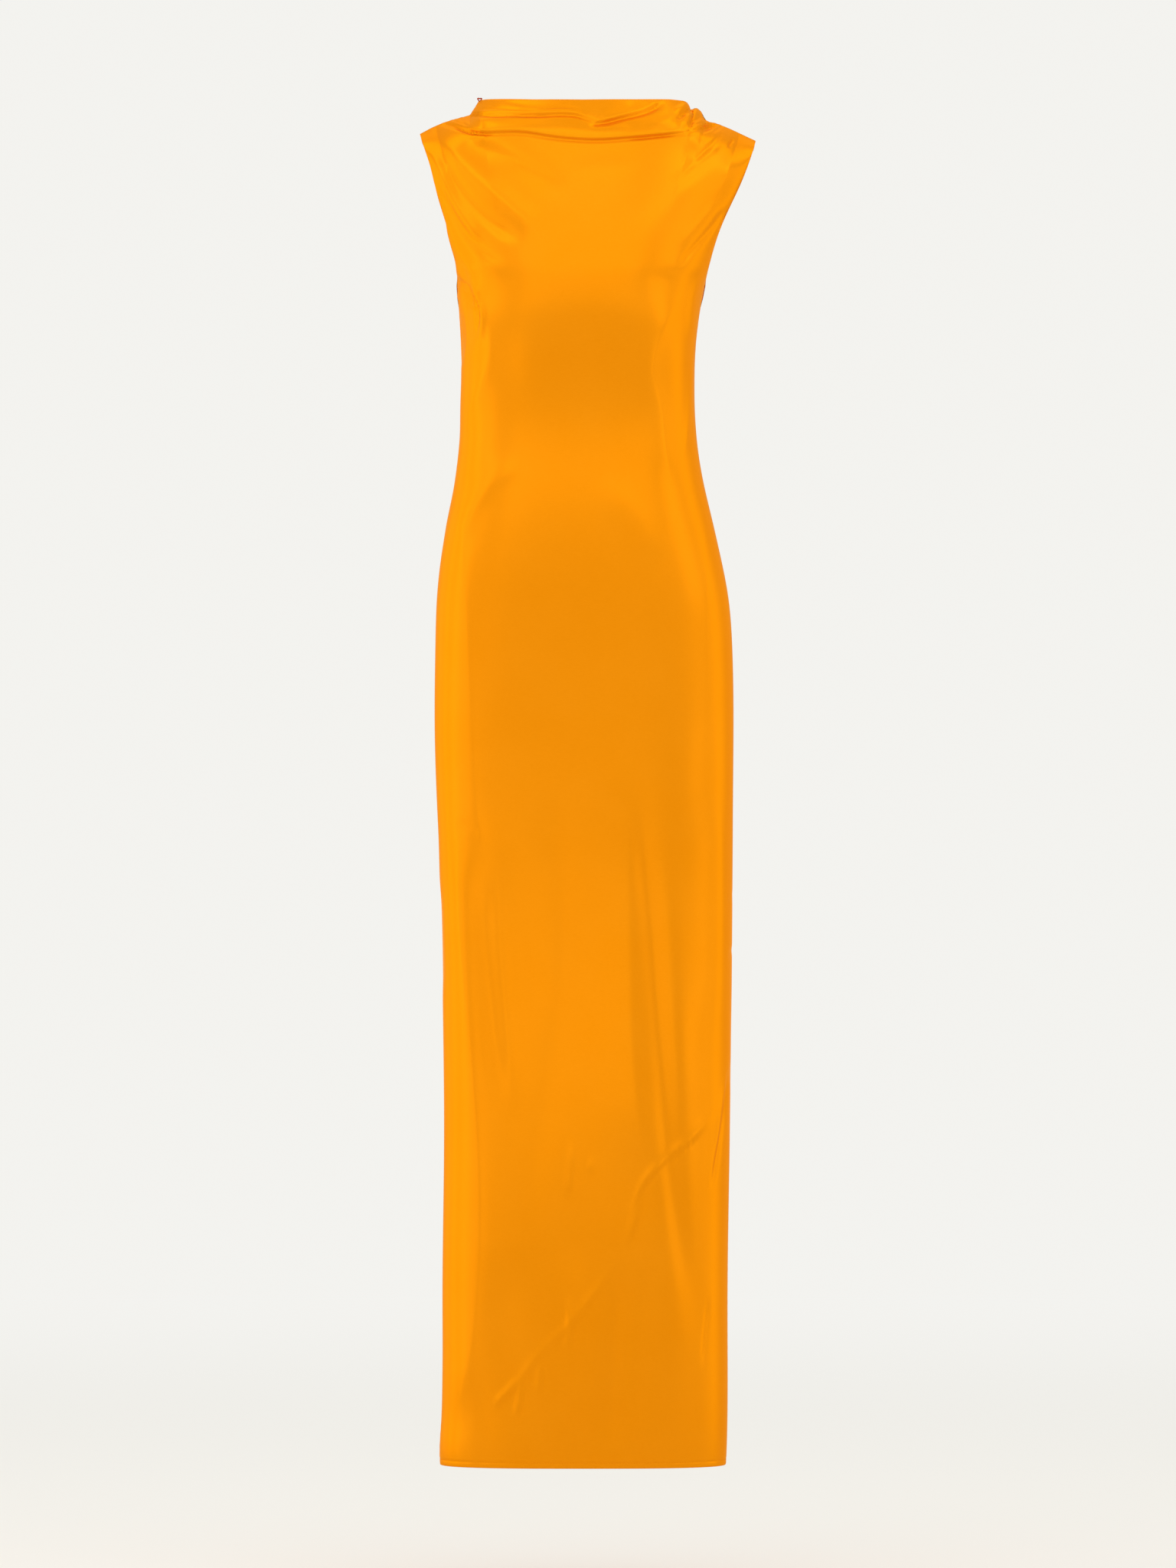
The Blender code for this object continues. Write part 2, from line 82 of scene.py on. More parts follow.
# Sloping rows from the armholes up: heights in the middle and at both ends, half-widths, depths in
# the middle and at the ends, the share of the half-width that bows out, how evenly the row droops,
# and the two powers that shape its bow.
Row = namedtuple("Row", "name middle low_left low_right left right depth edge bow slack power wrap")
FRONT_YOKE = [
    Row("foot", -0.171, -0.175, -0.175, 0.1386, 0.1353, 0.1195, 0.018, 1.00, 1.0, 2.5, 0.43),
    Row("above foot", -0.150, -0.162, -0.162, 0.1400, 0.1385, 0.1185, 0.031, 1.00, 1.0, 2.35, 0.48),
    Row("low armhole", -0.112, -0.128, -0.128, 0.1478, 0.1485, 0.1105, 0.045, 1.00, 1.0, 2.3, 0.55),
    Row("armhole", -0.070, -0.086, -0.088, 0.1605, 0.1660, 0.0985, 0.050, 1.00, 1.0, 2.2, 0.64),
    Row("high armhole", -0.032, -0.052, -0.058, 0.1690, 0.1790, 0.0870, 0.042, 1.00, 0.7, 2.2, 0.72),
    Row("shoulder", -0.006, -0.031, -0.038, 0.1760, 0.1860, 0.0765, 0.026, 0.90, 0.4, 2.1, 0.75),
    Row("neckline", 0.0130, -0.0210, -0.0285, 0.1790, 0.1886, 0.0640, 0.0, 0.63, 0.0, 2.0, 0.60),
]
BACK_YOKE = [
    Row("foot", -0.175, -0.175, -0.175, 0.1386, 0.1353, 0.0966, 0.017, 1.00, 1.0, 2.5, 0.43),
    Row("above foot", -0.162, -0.162, -0.162, 0.1400, 0.1385, 0.0976, 0.028, 1.00, 1.0, 2.35, 0.48),
    Row("low armhole", -0.128, -0.128, -0.128, 0.1478, 0.1485, 0.0985, 0.041, 1.00, 1.0, 2.3, 0.55),
    Row("armhole", -0.080, -0.086, -0.088, 0.1605, 0.1660, 0.0950, 0.045, 1.00, 1.0, 2.2, 0.64),
    Row("high armhole", -0.036, -0.052, -0.058, 0.1690, 0.1790, 0.0830, 0.038, 1.00, 0.7, 2.2, 0.72),
    Row("shoulder", -0.010, -0.031, -0.038, 0.1760, 0.1860, 0.0690, 0.024, 0.90, 0.4, 2.1, 0.75),
    Row("neckline", 0.0130, -0.0210, -0.0285, 0.1790, 0.1886, 0.0540, 0.0, 0.63, 0.0, 2.0, 0.60),
]

# How far down the shoulder line is at a share of the half-width: 0 is the middle, 1 the end.
Droop = namedtuple("Droop", "across left right")
SHOULDER_LINE = [
    Droop(0.00, 0.00, 0.00),
    Droop(0.30, -0.02, -0.02),
    Droop(0.50, -0.07, -0.05),
    Droop(0.585, -0.09, -0.03),
    Droop(0.602, -0.09, 0.00),
    Droop(0.615, -0.09, 0.08),
    Droop(0.624, -0.09, 0.19),
    Droop(0.635, -0.09, 0.17),
    Droop(0.648, 0.00, 0.13),
    Droop(0.661, 0.12, 0.14),
    Droop(0.678, 0.25, 0.20),
    Droop(0.689, 0.35, 0.26),
    Droop(0.696, 0.39, 0.40),
    Droop(0.729, 0.44, 0.50),
    Droop(0.760, 0.48, 0.52),
    Droop(0.808, 0.55, 0.60),
    Droop(0.860, 0.64, 0.70),
    Droop(0.930, 0.80, 0.85),
    Droop(1.000, 1.00, 1.00),
]

# Folds, in millimetres: a path of (x, z) places as seen on the plane of the side seams, how far
# the cloth rises there, the fold's widths on the left and the right of its path, the share of its
# length over which each end fades, how far the crest leans over, downwards, and how round it is.
FOLD_FIELDS = "name path rise wide_left wide_right fade lean power"
Fold = namedtuple("Fold", FOLD_FIELDS, defaults=(0.0, 2.0))
FOLD_LENGTHS = ("rise", "wide_left", "wide_right", "lean")
FOLD_REACH = 2.6  # how many widths away a fold has died out
FRONT_FOLDS = [
    Fold("upper line", [
        (-127.4, 3.5), (-112.3, 5.4), (-98, 6.2), (-78.8, 5.9), (-60.3, 5.2), (-46.9, 4.9),
    ], -0.9, 1.4, 1.6, 0.2),
    Fold("upper line right", [
        (-48.6, 6.4), (-33.5, 8.4), (-20.9, 8.9), (-8.4, 7), (1.7, 1.7), (11.7, -5.9),
    ], -1.1, 1.5, 1.5, 0.2),
    Fold("neck roll", [
        (-130.7, 1.7), (-102.2, 3.2), (-75.4, 3.5), (-52, 3.1), (-28.5, 4), (-11.7, 3.4), (0.8, 0),
        (13.4, -6.5),
    ], 2.1, 4.6, 2.2, 0.12, 0.9),
    Fold("neck groove", [
        (-135.8, 0.3), (-109.8, 0.7), (-96.4, 0.2), (-75.4, 0.8), (-51.1, 0.3), (-33.5, 0.8),
        (-12.6, 0.5), (-1.7, -1.5), (8.4, -5.9), (18.4, -9.9),
    ], -2.2, 1.4, 3, 0.1),
    Fold("neck groove dark", [
        (-78.8, 0.5), (-65.4, 0.5), (-51.1, 0.3), (-33.5, 0.8),
    ], -1.3, 0.9, 2.2, 0.3),
    Fold("kink roll", [
        (14.2, -6.9), (36.9, -1), (55.3, 4), (69.6, 8.7), (85.5, 16.3),
    ], 2.8, 7, 2, 0.16, 1.3),
    Fold("kink groove", [
        (5, -11.2), (15.1, -8.9), (28.5, -6.2), (40.2, -3), (57, 0.8), (70.4, 5.1), (80.4, 10.2),
        (88.8, 13.9),
    ], -3, 1.4, 4.6, 0.12),
    Fold("roll", [
        (-149.2, -6.3), (-127.4, -9.6), (-93.9, -11.7), (-52, -13), (-10.1, -15.9), (23.5, -18),
        (57, -14.7), (90.5, -8.8), (119.8, -0.4),
    ], 2.6, 6.5, 6.5, 0.15, 0.3),
    Fold("roll lip", [
        (-172.6, 0.8), (-159.2, -4.5), (-145.8, -8.4), (-133.2, -12.2), (-121.5, -15.8),
        (-110.6, -16.8), (-96.4, -16.8), (-78.8, -16.3), (-62, -17.1), (-38.5, -20.7), (-12.6, -23.5),
        (14.2, -24.8), (39.4, -23.4), (62, -21.2), (88, -18.7), (103.9, -16.7), (119.8, -13),
        (133.2, -9.3), (147.5, -4.2), (157.5, 0),
    ], 2.6, 5.5, 2, 0.05, 1.5),
    Fold("chest groove", [
        (-171, -0.8), (-159.2, -6), (-146.7, -10.1), (-134.9, -14.4), (-122.3, -18.3), (-114, -19.6),
        (-96.4, -20.1), (-80.4, -19.6), (-64.5, -20.1), (-38.5, -23.8), (-12.6, -26.6), (14.2, -27.8),
        (39.4, -26.5), (62, -24.3), (88, -21.8), (103.9, -19.9), (119.8, -16.4), (135.8, -12.1),
        (149.2, -6.5), (159.2, -1.7),
    ], -1.3, 1.2, 3, 0.05),
    Fold("chest groove left", [
        (-144.1, -10.9), (-133.2, -14.4), (-122.3, -17.8), (-112.3, -19), (-95.5, -19.4),
    ], -2.5, 1.1, 3, 0.3),
    Fold("chest groove right", [
        (46.9, -25.8), (62, -24.5), (82.1, -22.5), (103.9, -20.1),
    ], -1.3, 1, 2.4, 0.3),
    Fold("left roll hollow", [
        (-135.8, -6.7), (-124, -9.2), (-108.9, -11.7), (-92.2, -12.6),
    ], -1, 4, 3.4, 0.35),
    Fold("left lip line", [
        (-157.5, -3.9), (-144.1, -6.2), (-130.7, -10.9), (-120.7, -14.6),
    ], -1.1, 1.2, 1.4, 0.25),
    Fold("right lip line", [
        (97.2, -18.1), (109.8, -15.1), (119.8, -11.4), (129.9, -7.7), (139.9, -3.9),
    ], -1.3, 1.1, 1.5, 0.25),
    Fold("right end groove", [
        (125.7, -14.9), (135.8, -12.1), (144.1, -8.9), (153.4, -4.7),
    ], -1.2, 1, 2.2, 0.3),
    Fold("band dent", [
        (36.9, -8.4), (53.6, -12.6), (70.4, -10.9), (83.8, -4.2),
    ], -1.3, 5.5, 6.5, 0.35),
    Fold("right tuck", [
        (95.5, -10.1), (103.9, -2.5), (113.1, 5),
    ], -1.5, 3, 3.5, 0.3),
    Fold("right tuck line", [
        (105.6, -15.6), (114.8, -10.6), (123.2, -5), (129.9, 0.3),
    ], -1.5, 1.3, 2, 0.2),
    Fold("right tuck ridge", [
        (102.2, -13.4), (111.5, -6.4), (122.3, 0.8),
    ], 1.5, 3.4, 3, 0.25, 0.5),
    Fold("lump one", [
        (114.8, 12.6), (107.3, 7.5), (98.9, 3.4),
    ], 2.4, 2.6, 2.6, 0.3),
    Fold("lump two", [
        (127.4, 6.7), (119.8, 0.8), (109.8, -5),
    ], 2.6, 2.8, 2.8, 0.3),
    Fold("lump gap", [
        (118.2, 9.2), (110.6, 1.7), (100.6, -5),
    ], -1.9, 1.5, 2, 0.35),
    Fold("inner soft 1", [
        (45.3, 12.6), (63.7, 9.2), (78.8, 14.7),
    ], -0.9, 4.5, 5, 0.3),
    Fold("inner soft 2", [
        (-102.2, 10.1), (-52, 12.2), (-1.7, 11.3),
    ], -0.7, 4, 5, 0.35),
    Fold("inner soft 3", [
        (-102.2, 14.2), (-83.8, 10.9), (-60.3, 8.4),
    ], 0.7, 2.6, 3, 0.35),
    Fold("left drape A", [
        (-159.2, -13.4), (-141.6, -38.5), (-112.3, -70.4), (-78.8, -100.6), (-38.5, -130.7),
    ], 3.2, 12, 12, 0.2),
    Fold("left hollow A", [
        (-147.5, -13.4), (-129.1, -26.8), (-98, -41.9), (-57, -60.3), (-11.7, -85.5),
    ], -2.4, 9, 16, 0.25),
    Fold("left hollow B", [
        (-161.7, -26.8), (-145.8, -63.7), (-124, -93.9), (-97.2, -119), (-62, -137.4),
    ], -3.2, 8, 9, 0.2),
    Fold("left drape B", [
        (-167.6, -33.5), (-152.5, -72.1), (-134.1, -108.9), (-108.9, -144.1),
    ], 2.6, 5, 5, 0.2),
    Fold("left hollow C", [
        (-160.1, -72.1), (-142.5, -108.9), (-115.6, -142.5), (-82.1, -164.2),
    ], -2.2, 5, 6.5, 0.25),
    Fold("left drape C", [
        (-155.9, -114), (-139.1, -147.5), (-117.3, -181),
    ], 1.8, 5, 6, 0.25),
    Fold("left crumple 1", [
        (-145.8, -169.3), (-133.2, -186), (-120.7, -199.4), (-114, -216.2), (-117.3, -239.7),
    ], -3, 3, 4, 0.25),
    Fold("left crumple 2", [
        (-125.7, -186), (-114.8, -201.1), (-108.9, -221.2), (-114, -251.4),
    ], 2.4, 3.4, 3.5, 0.25),
    Fold("left crumple 3", [
        (-135.8, -206.1), (-133.2, -243), (-134.1, -279.9),
    ], -2, 2.6, 2.8, 0.3),
    Fold("left crumple 4", [
        (-130.7, -204.5), (-120.7, -207.8), (-110.6, -214.5),
    ], -2, 2.4, 2.8, 0.3),
    Fold("left edge hollow 1", [
        (-135.8, -144.1), (-130.7, -169.3), (-128.2, -196.1), (-127.4, -229.6), (-127.4, -266.5),
    ], -2.6, 8, 6, 0.22),
    Fold("right crease 1", [
        (127.4, -23), (132.4, -17.6), (139.9, -12.6), (147.5, -9.2), (155.9, -5.9),
    ], -1.5, 1.2, 1.9, 0.28, 0.2),
    Fold("right crease 2", [
        (117.3, -56.1), (128.2, -44.4), (140.8, -31.8), (154.2, -17.6),
    ], -1.6, 2.4, 3.4, 0.3),
    Fold("right crease 3", [
        (158.4, -36.9), (161.7, -30.2), (165.9, -25.1),
    ], -1.8, 1.4, 1.9, 0.35),
    Fold("right ridge 2", [
        (98.9, -73.7), (119.8, -53.6), (140.8, -38.5), (154.2, -23.5),
    ], 1.2, 4, 4, 0.3),
    Fold("right drape 2", [
        (97.2, -97.2), (132.4, -63.7), (167.6, -33.5),
    ], 0.6, 9, 12, 0.3),
    Fold("armhole hollow", [
        (159.2, -97.2), (144.1, -120.7), (124, -144.1), (102.2, -169.3),
    ], -2.2, 3, 5, 0.22),
    Fold("armhole drape", [
        (152.5, -88.8), (127.4, -117.3), (97.2, -147.5),
    ], 1.2, 9, 4.5, 0.3),
    Fold("right side drape", [
        (134.1, -167.6), (124, -186), (118.2, -217.9), (117.3, -251.4),
    ], 1.4, 4.5, 4.5, 0.3),
    Fold("right waist facet", [
        (107.3, -189.4), (88.8, -226.3), (76.3, -261.5), (74.6, -286.6), (82.1, -315.1), (88.8, -367),
        (100.6, -410.6),
    ], 2.4, 8, 17, 0.22, 0, 1.5),
    Fold("right waist line", [
        (118.2, -255.6), (116.5, -310.1), (112.3, -356.1), (108.1, -383.8),
    ], 0.9, 3, 3, 0.3),
    Fold("left waist facet", [
        (-139.1, -147.5), (-122.3, -181), (-108.9, -212.9), (-101.4, -246.4), (-106.4, -283.2),
        (-122.3, -320.1), (-131.6, -360.3),
    ], 2.6, 10, 18, 0.25, 0, 1.4),
    Fold("chest soft 1", [
        (-20.1, -63.7), (23.5, -54.5), (65.4, -58.7),
    ], -0.9, 8, 10, 0.4),
    Fold("bust soften", [
        (-108.9, -172.6), (-60.3, -155.9), (2.5, -146.7), (65.4, -156.7), (112.3, -187.7),
    ], -1.7, 24, 22, 0.15),
    Fold("under bust", [
        (-114.8, -248), (-52, -224.6), (2.5, -217.9), (57, -224.6), (111.5, -253.1),
    ], 1.2, 28, 60, 0.2),
    Fold("belly arc", [
        (10.9, -398.1), (41.9, -423.2), (69.6, -456.7), (88.8, -498.6),
    ], 0.8, 14, 22, 0.35),
    Fold("left waist sweep", [
        (-72.1, -375.4), (-90.5, -393.9), (-110.6, -414.8), (-124.9, -437.4), (-132.4, -472.6),
    ], 1.9, 9, 15, 0.25),
    Fold("left hip facet", [
        (-135.8, -402.2), (-129.9, -511.2), (-124, -611.7), (-119, -712.3), (-112.3, -804.5),
    ], 1.7, 16, 20, 0.14, 0, 1.4),
    Fold("left notch", [
        (-144.1, -784.4), (-134.1, -777.7), (-122.3, -781), (-113.1, -796.1),
    ], -0.9, 3, 8, 0.3),
    Fold("right hip facet", [
        (130.7, -402.2), (134.1, -511.2), (135.8, -628.5), (137.4, -712.3),
    ], 1, 14, 16, 0.2, 0, 1.4),
    Fold("hip soft 1", [
        (-52, -561.5), (-1.7, -586.6), (57, -544.7),
    ], -0.8, 30, 30, 0.4),
    Fold("left crest", [
        (-137.4, -779.3), (-134.9, -879.9), (-128.2, -963.7), (-120.7, -1047.5), (-114, -1131.3),
        (-113.1, -1257), (-124.9, -1365.9), (-140.8, -1434.7),
    ], 2.8, 16, 18, 0.1, 0, 1.5),
    Fold("left streak hollow", [
        (-112.3, -804.5), (-108.9, -905), (-100.6, -997.2), (-90.5, -1089.4),
    ], -1.8, 10, 11, 0.28),
    Fold("left streak", [
        (-92.2, -787.7), (-88.8, -896.7), (-82.1, -988.8), (-72.1, -1106.2),
    ], 1.8, 12, 9, 0.28),
    Fold("left middle crest", [
        (-45.3, -737.4), (-41.9, -829.6), (-40.2, -930.2), (-45.3, -1047.5),
    ], 1.7, 16, 20, 0.3),
    Fold("left middle hollow", [
        (-23.5, -754.2), (-20.1, -863.1), (-25.1, -980.5), (-45.3, -1114.5), (-55.3, -1231.9),
    ], -1.5, 16, 13, 0.3),
    Fold("skirt crest", [
        (46.9, -712.3), (46.1, -812.9), (46.9, -913.4), (49.4, -1014), (56.1, -1097.8), (65.4, -1190),
    ], 3.6, 16, 34, 0.25, 0, 1.8),
    Fold("skirt hollow", [
        (62, -712.3), (65.4, -796.1), (73.7, -871.5), (80.4, -955.3), (87.2, -1039.1), (93.9, -1131.3),
        (107.3, -1231.9), (130.7, -1365.9),
    ], -2.4, 14, 11, 0.22),
    Fold("right streak", [
        (83.8, -762.6), (89.7, -863.1), (95.5, -955.3), (103.1, -1047.5), (110.6, -1122.9),
    ], 1.5, 24, 10, 0.28),
    Fold("right crest", [
        (145.8, -729.1), (147.5, -812.9), (148.3, -913.4), (147.5, -1014),
    ], 2.6, 10, 24, 0.25),
    Fold("left edge hollow", [
        (-155.9, -829.6), (-155, -896.7), (-152.5, -972.1),
    ], -1.2, 3, 3.5, 0.3),
    Fold("edge nick 1", [
        (167.6, -853.1), (161.7, -856.4), (157.5, -866.5),
    ], -0.8, 1.8, 2.4, 0.3),
    Fold("edge nick 2", [
        (166.8, -908.4), (162.6, -913.4), (158.4, -925.2),
    ], -0.8, 1.8, 2.4, 0.3),
    Fold("curved crease", [
        (152.5, -1072.6), (137.4, -1097.8), (120.7, -1119.6), (102.2, -1135.5), (83.8, -1150.6),
        (67, -1169.8), (57.8, -1197.5), (52.8, -1220.1), (41.9, -1246.9),
    ], 1.3, 2.6, 5, 0.22),
    Fold("curved crease line", [
        (137.4, -1102.8), (119, -1124.6), (98.9, -1140.5), (81.3, -1156.4), (65.4, -1175.7),
        (56.1, -1203.4), (50.3, -1225.2),
    ], -1.1, 1.6, 1.8, 0.25),
    Fold("curved crease far", [
        (41.9, -1246.9), (10.1, -1293), (-26, -1334.9), (-49.4, -1358.4), (-70.4, -1386.1),
        (-98.9, -1412.9),
    ], 0.8, 3, 5, 0.25),
    Fold("wrinkle 1", [
        (-70.4, -1385.2), (-83.8, -1397.8), (-99.7, -1414.5),
    ], 1.4, 2.4, 2.8, 0.3),
    Fold("wrinkle 2", [
        (-69.6, -1385.2), (-70.4, -1404.5), (-75.4, -1426.3),
    ], 1.4, 2.4, 2.8, 0.3),
    Fold("wrinkle 3", [
        (-16.8, -1290.5), (-15.1, -1324), (-20.1, -1361.8),
    ], 1.2, 4, 4, 0.35),
    Fold("wrinkle 4", [
        (-49.4, -1362.6), (-47.8, -1382.7), (-52, -1404.5),
    ], 1, 3, 3.6, 0.35),
    Fold("thin streak", [
        (-13.4, -1117.9), (-14.2, -1148.1), (-17.6, -1190),
    ], 0.9, 3, 4, 0.35),
    Fold("thin streak 2", [
        (7.5, -1141.4), (8.4, -1159.8),
    ], 0.6, 2.4, 3, 0.4),
    Fold("right crease low 1", [
        (162.6, -1030.7), (155.9, -1072.6), (149.2, -1122.9), (139.1, -1181.6),
    ], -1.8, 2.4, 2.2, 0.25),
    Fold("right crease low ridge", [
        (157.5, -1047.5), (150.8, -1089.4), (144.1, -1139.7),
    ], 1.2, 2.4, 3, 0.3),
    Fold("right crease low 2", [
        (138.3, -1290.5), (133.2, -1332.4), (129.9, -1374.3),
    ], -1.1, 2.4, 3, 0.3),
    Fold("lower left hollow", [
        (-82.1, -1231.9), (-83.8, -1315.7), (-77.1, -1399.5), (-60.3, -1466.5),
    ], -2.2, 26, 24, 0.3),
    Fold("lower middle crest", [
        (-11.7, -1231.9), (-3.4, -1298.9), (3.4, -1374.3), (5, -1458.1),
    ], 2.2, 12, 24, 0.35),
    Fold("lower wedge hollow", [
        (36.9, -1248.6), (36.9, -1332.4), (31.8, -1416.2), (36.9, -1474.9),
    ], -3, 14, 13, 0.25),
    Fold("lower right hollow", [
        (65.4, -1248.6), (62, -1332.4), (58.7, -1399.5), (57, -1458.1),
    ], -1.8, 14, 12, 0.3),
]
BACK_FOLDS = [
    Fold("neck dip", [
        (-90, -12), (0, -30), (90, -12),
    ], 2.4, 6, 8, 0.25),
    Fold("left blade", [
        (-140, -40), (-105, -100), (-70, -170),
    ], 3.4, 10, 10, 0.25),
    Fold("left blade hollow", [
        (-120, -40), (-85, -100), (-50, -160),
    ], -2.6, 10, 8, 0.3),
    Fold("right blade", [
        (145, -40), (110, -110), (75, -185),
    ], 3.4, 10, 10, 0.25),
    Fold("right blade hollow", [
        (122, -36), (86, -100), (55, -165),
    ], -2.6, 8, 10, 0.3),
    Fold("waist crease", [
        (-95, -318), (-20, -340), (80, -322),
    ], -3, 8, 10, 0.3),
    Fold("waist ridge", [
        (-85, -345), (-10, -362), (90, -340),
    ], 2, 9, 11, 0.3),
    Fold("high waist crease", [
        (-60, -285), (10, -296), (70, -280),
    ], -1.6, 6, 8, 0.35),
    Fold("left fall", [
        (-66, -700), (-62, -950), (-66, -1200), (-74, -1450),
    ], 4.6, 15, 11, 0.25),
    Fold("middle hollow", [
        (-18, -740), (-12, -1000), (-6, -1400),
    ], -4, 18, 16, 0.3),
    Fold("right fall", [
        (52, -680), (58, -950), (50, -1300),
    ], 4.6, 11, 16, 0.25),
    Fold("right hollow", [
        (98, -780), (102, -1050), (96, -1380),
    ], -3.2, 14, 14, 0.3),
    Fold("left hollow", [
        (-108, -760), (-106, -1000), (-112, -1350),
    ], -3.2, 14, 14, 0.3),
    Fold("low slant", [
        (-60, -1180), (-20, -1270), (60, -1360),
    ], 1.2, 4, 5, 0.3),
]

# Rows and columns of points: stretches of height or angle with the step between points.
Stretch = namedtuple("Stretch", "start step")
HEIGHT_STRETCHES = [
    Stretch(HEM, 0.0010),
    Stretch(-1.466, 0.0045),
    Stretch(-1.100, 0.0062),
    Stretch(-0.500, 0.0052),
    Stretch(-0.190, 0.0030),
    Stretch(-0.045, 0.00115),
]
ANGLE_STRETCHES = [
    Stretch(-90.0, 0.90),
    Stretch(-75.0, 0.56),
    Stretch(-38.0, 0.84),
    Stretch(38.0, 0.56),
    Stretch(75.0, 0.90),
]
ANGLE_END = 90.0
INNER_SKIP = 3  # the inside takes every third point,
FINE_ABOVE = -0.050  # and every row above this height
PATH_STEPS = 64  # points along a fold's path
SIDE_CALM = 0.012  # how far from the side seams the folds reach their full height
TOP_CALM = 0.0035  # and how far below the shoulder seams and the neckline
RUCHE_FROM = 0.68  # share of the half-width where the shoulder gathers start
RUCHE_TO = 0.62  # where they have died out, as a share of the way on to the armhole
RUCHE_GROW = 0.20  # over what shares of the way they grow and die out
RUCHE_FADE = 0.30
RUCHE_RISE = 0.0004
RUCHE_SLANT = 14.0  # how far they lean towards the middle as they run down, in shares a metre
RUCHE_AT_SEAM = 0.35  # share of their height that is left at the seam itself
# Two sets of gathers: waves across, reach down the cloth, share of the height, and how far the
# right shoulder's waves are out of step with the left one's.
Gather = namedtuple("Gather", "waves reach share shift")
GATHERS = [Gather(6.0, 0.022, 0.6, 1.7), Gather(10.5, 0.009, 0.7, 3.57)]

# --- Edges, seams and stitching ----------------------------------------------------------------

HEM_TURN = 0.012  # widths of the edges turned in at the hem, the armholes and the neckline
ARMHOLE_TURN = 0.008
NECK_TURN = 0.010
TURN_STEP = 0.0015  # over what width the turned edge thins out
TURN_LAYERS = 1.0  # how many more layers of cloth a turned edge has
FAR = 1.0  # a seam isn't an open edge, so it counts as this far off
EDGE_ROUND = 0.00025  # how far the outside draws in along an open edge
STITCH_LINE = 0.0062  # height of the sewn line above the hem's edge
STITCH_PITCH = 0.0030
STITCH_LENGTH = 0.0021
STITCH_WIDTH = 0.00042
STITCH_PROUD = 0.00022  # how far a stitch stands out
STITCH_SINK = 0.00030  # how deep the sewn line pulls the cloth in, and how wide
STITCH_SINK_WIDE = 0.0011
HEM_WAVE = 0.35  # how unevenly it pulls, over what length, and how the waves drift along it
HEM_WAVE_LENGTH = 0.021
HEM_WAVE_DRIFT = (2.0, 9.0)
THREAD_SIDES = 6  # sides of a thread in cross-section
PUCKER_RISE = 0.00030  # small waves along the side seams: height, reach and length
PUCKER_REACH = 0.0060
PUCKER_LENGTH = 0.0115
PUCKER_STARTS = (0.6, 2.3)  # where the waves of the left and of the right seam start
PUCKER_DRIFT = (1.7, 23.0)  # how far and how fast the waves drift out of step
PUCKER_LULLS = 17.0  # how often they die down
PUCKER_FADE = 0.02  # how far below the armholes they reach their full height
SEAM_SINK = 0.00055  # depth and width of the side seams' groove
SEAM_SINK_WIDE = 0.0026
KNOT_PLACE = (-0.1140, 0.0172)  # seen from the front
KNOT_SIZE = 0.0017  # radius of the knot's loops
KNOT_THREAD = 0.0008  # radius of its thread
KNOT_TURNS = 36  # steps round the knot
KNOT_LOOPS = 3
KNOT_SWING = 0.35  # how far its loops stand out, as a share of its size

# --- Satin and thread --------------------------------------------------------------------------

WARP_TURN = math.radians(45)  # the cloth is cut on the bias
WARP_STRETCH = (0.12, 1.0, 1.0)  # fine streaks both ways make up the weave
WARP_SCALE = 1500.0
WEFT_STRETCH = (0.30, 1.0, 1.0)
WEFT_SCALE = 1100.0
WEFT_SHARE = 0.35
WEAVE_DETAIL = 3.0
WEAVE_STRENGTH = 0.35
WEAVE_DEPTH = 0.00006
PATCH_SCALE = 14.0  # large patches of slightly different shade and gloss
PATCH_DETAIL = 4.0
PATCH_SHARE = 0.35
SHADE_RANGE = (0.30, 0.70)  # noise where the deep shade ends and where it is all light
ROUGHNESS_RANGE = (0.25, 0.33)
METAL_SHARE = 0.40  # gives the gloss the colour of the cloth
GLANCE_TINT = (1.0, 0.60, 0.12, 1.0)
SHEEN_WEIGHT = 0.10
SHEEN_ROUGHNESS = 0.40
SHEEN_TINT = (1.0, 0.62, 0.22, 1.0)
DEEP_ORANGE = (0.835, 0.256, 0.0015, 1.0)
LIGHT_ORANGE = (0.875, 0.280, 0.004, 1.0)
THREAD_ORANGE = ((0.62, 0.125, 0.001, 1.0), (0.84, 0.200, 0.003, 1.0))
THREAD_RED = ((0.35, 0.030, 0.001, 1.0), (0.52, 0.065, 0.002, 1.0))
THREAD_ROUGHNESS = 0.55
FIBRE_SCALE = 2400.0
FIBRE_DEPTH = 0.0001

# --- Lights, floor and view --------------------------------------------------------------------

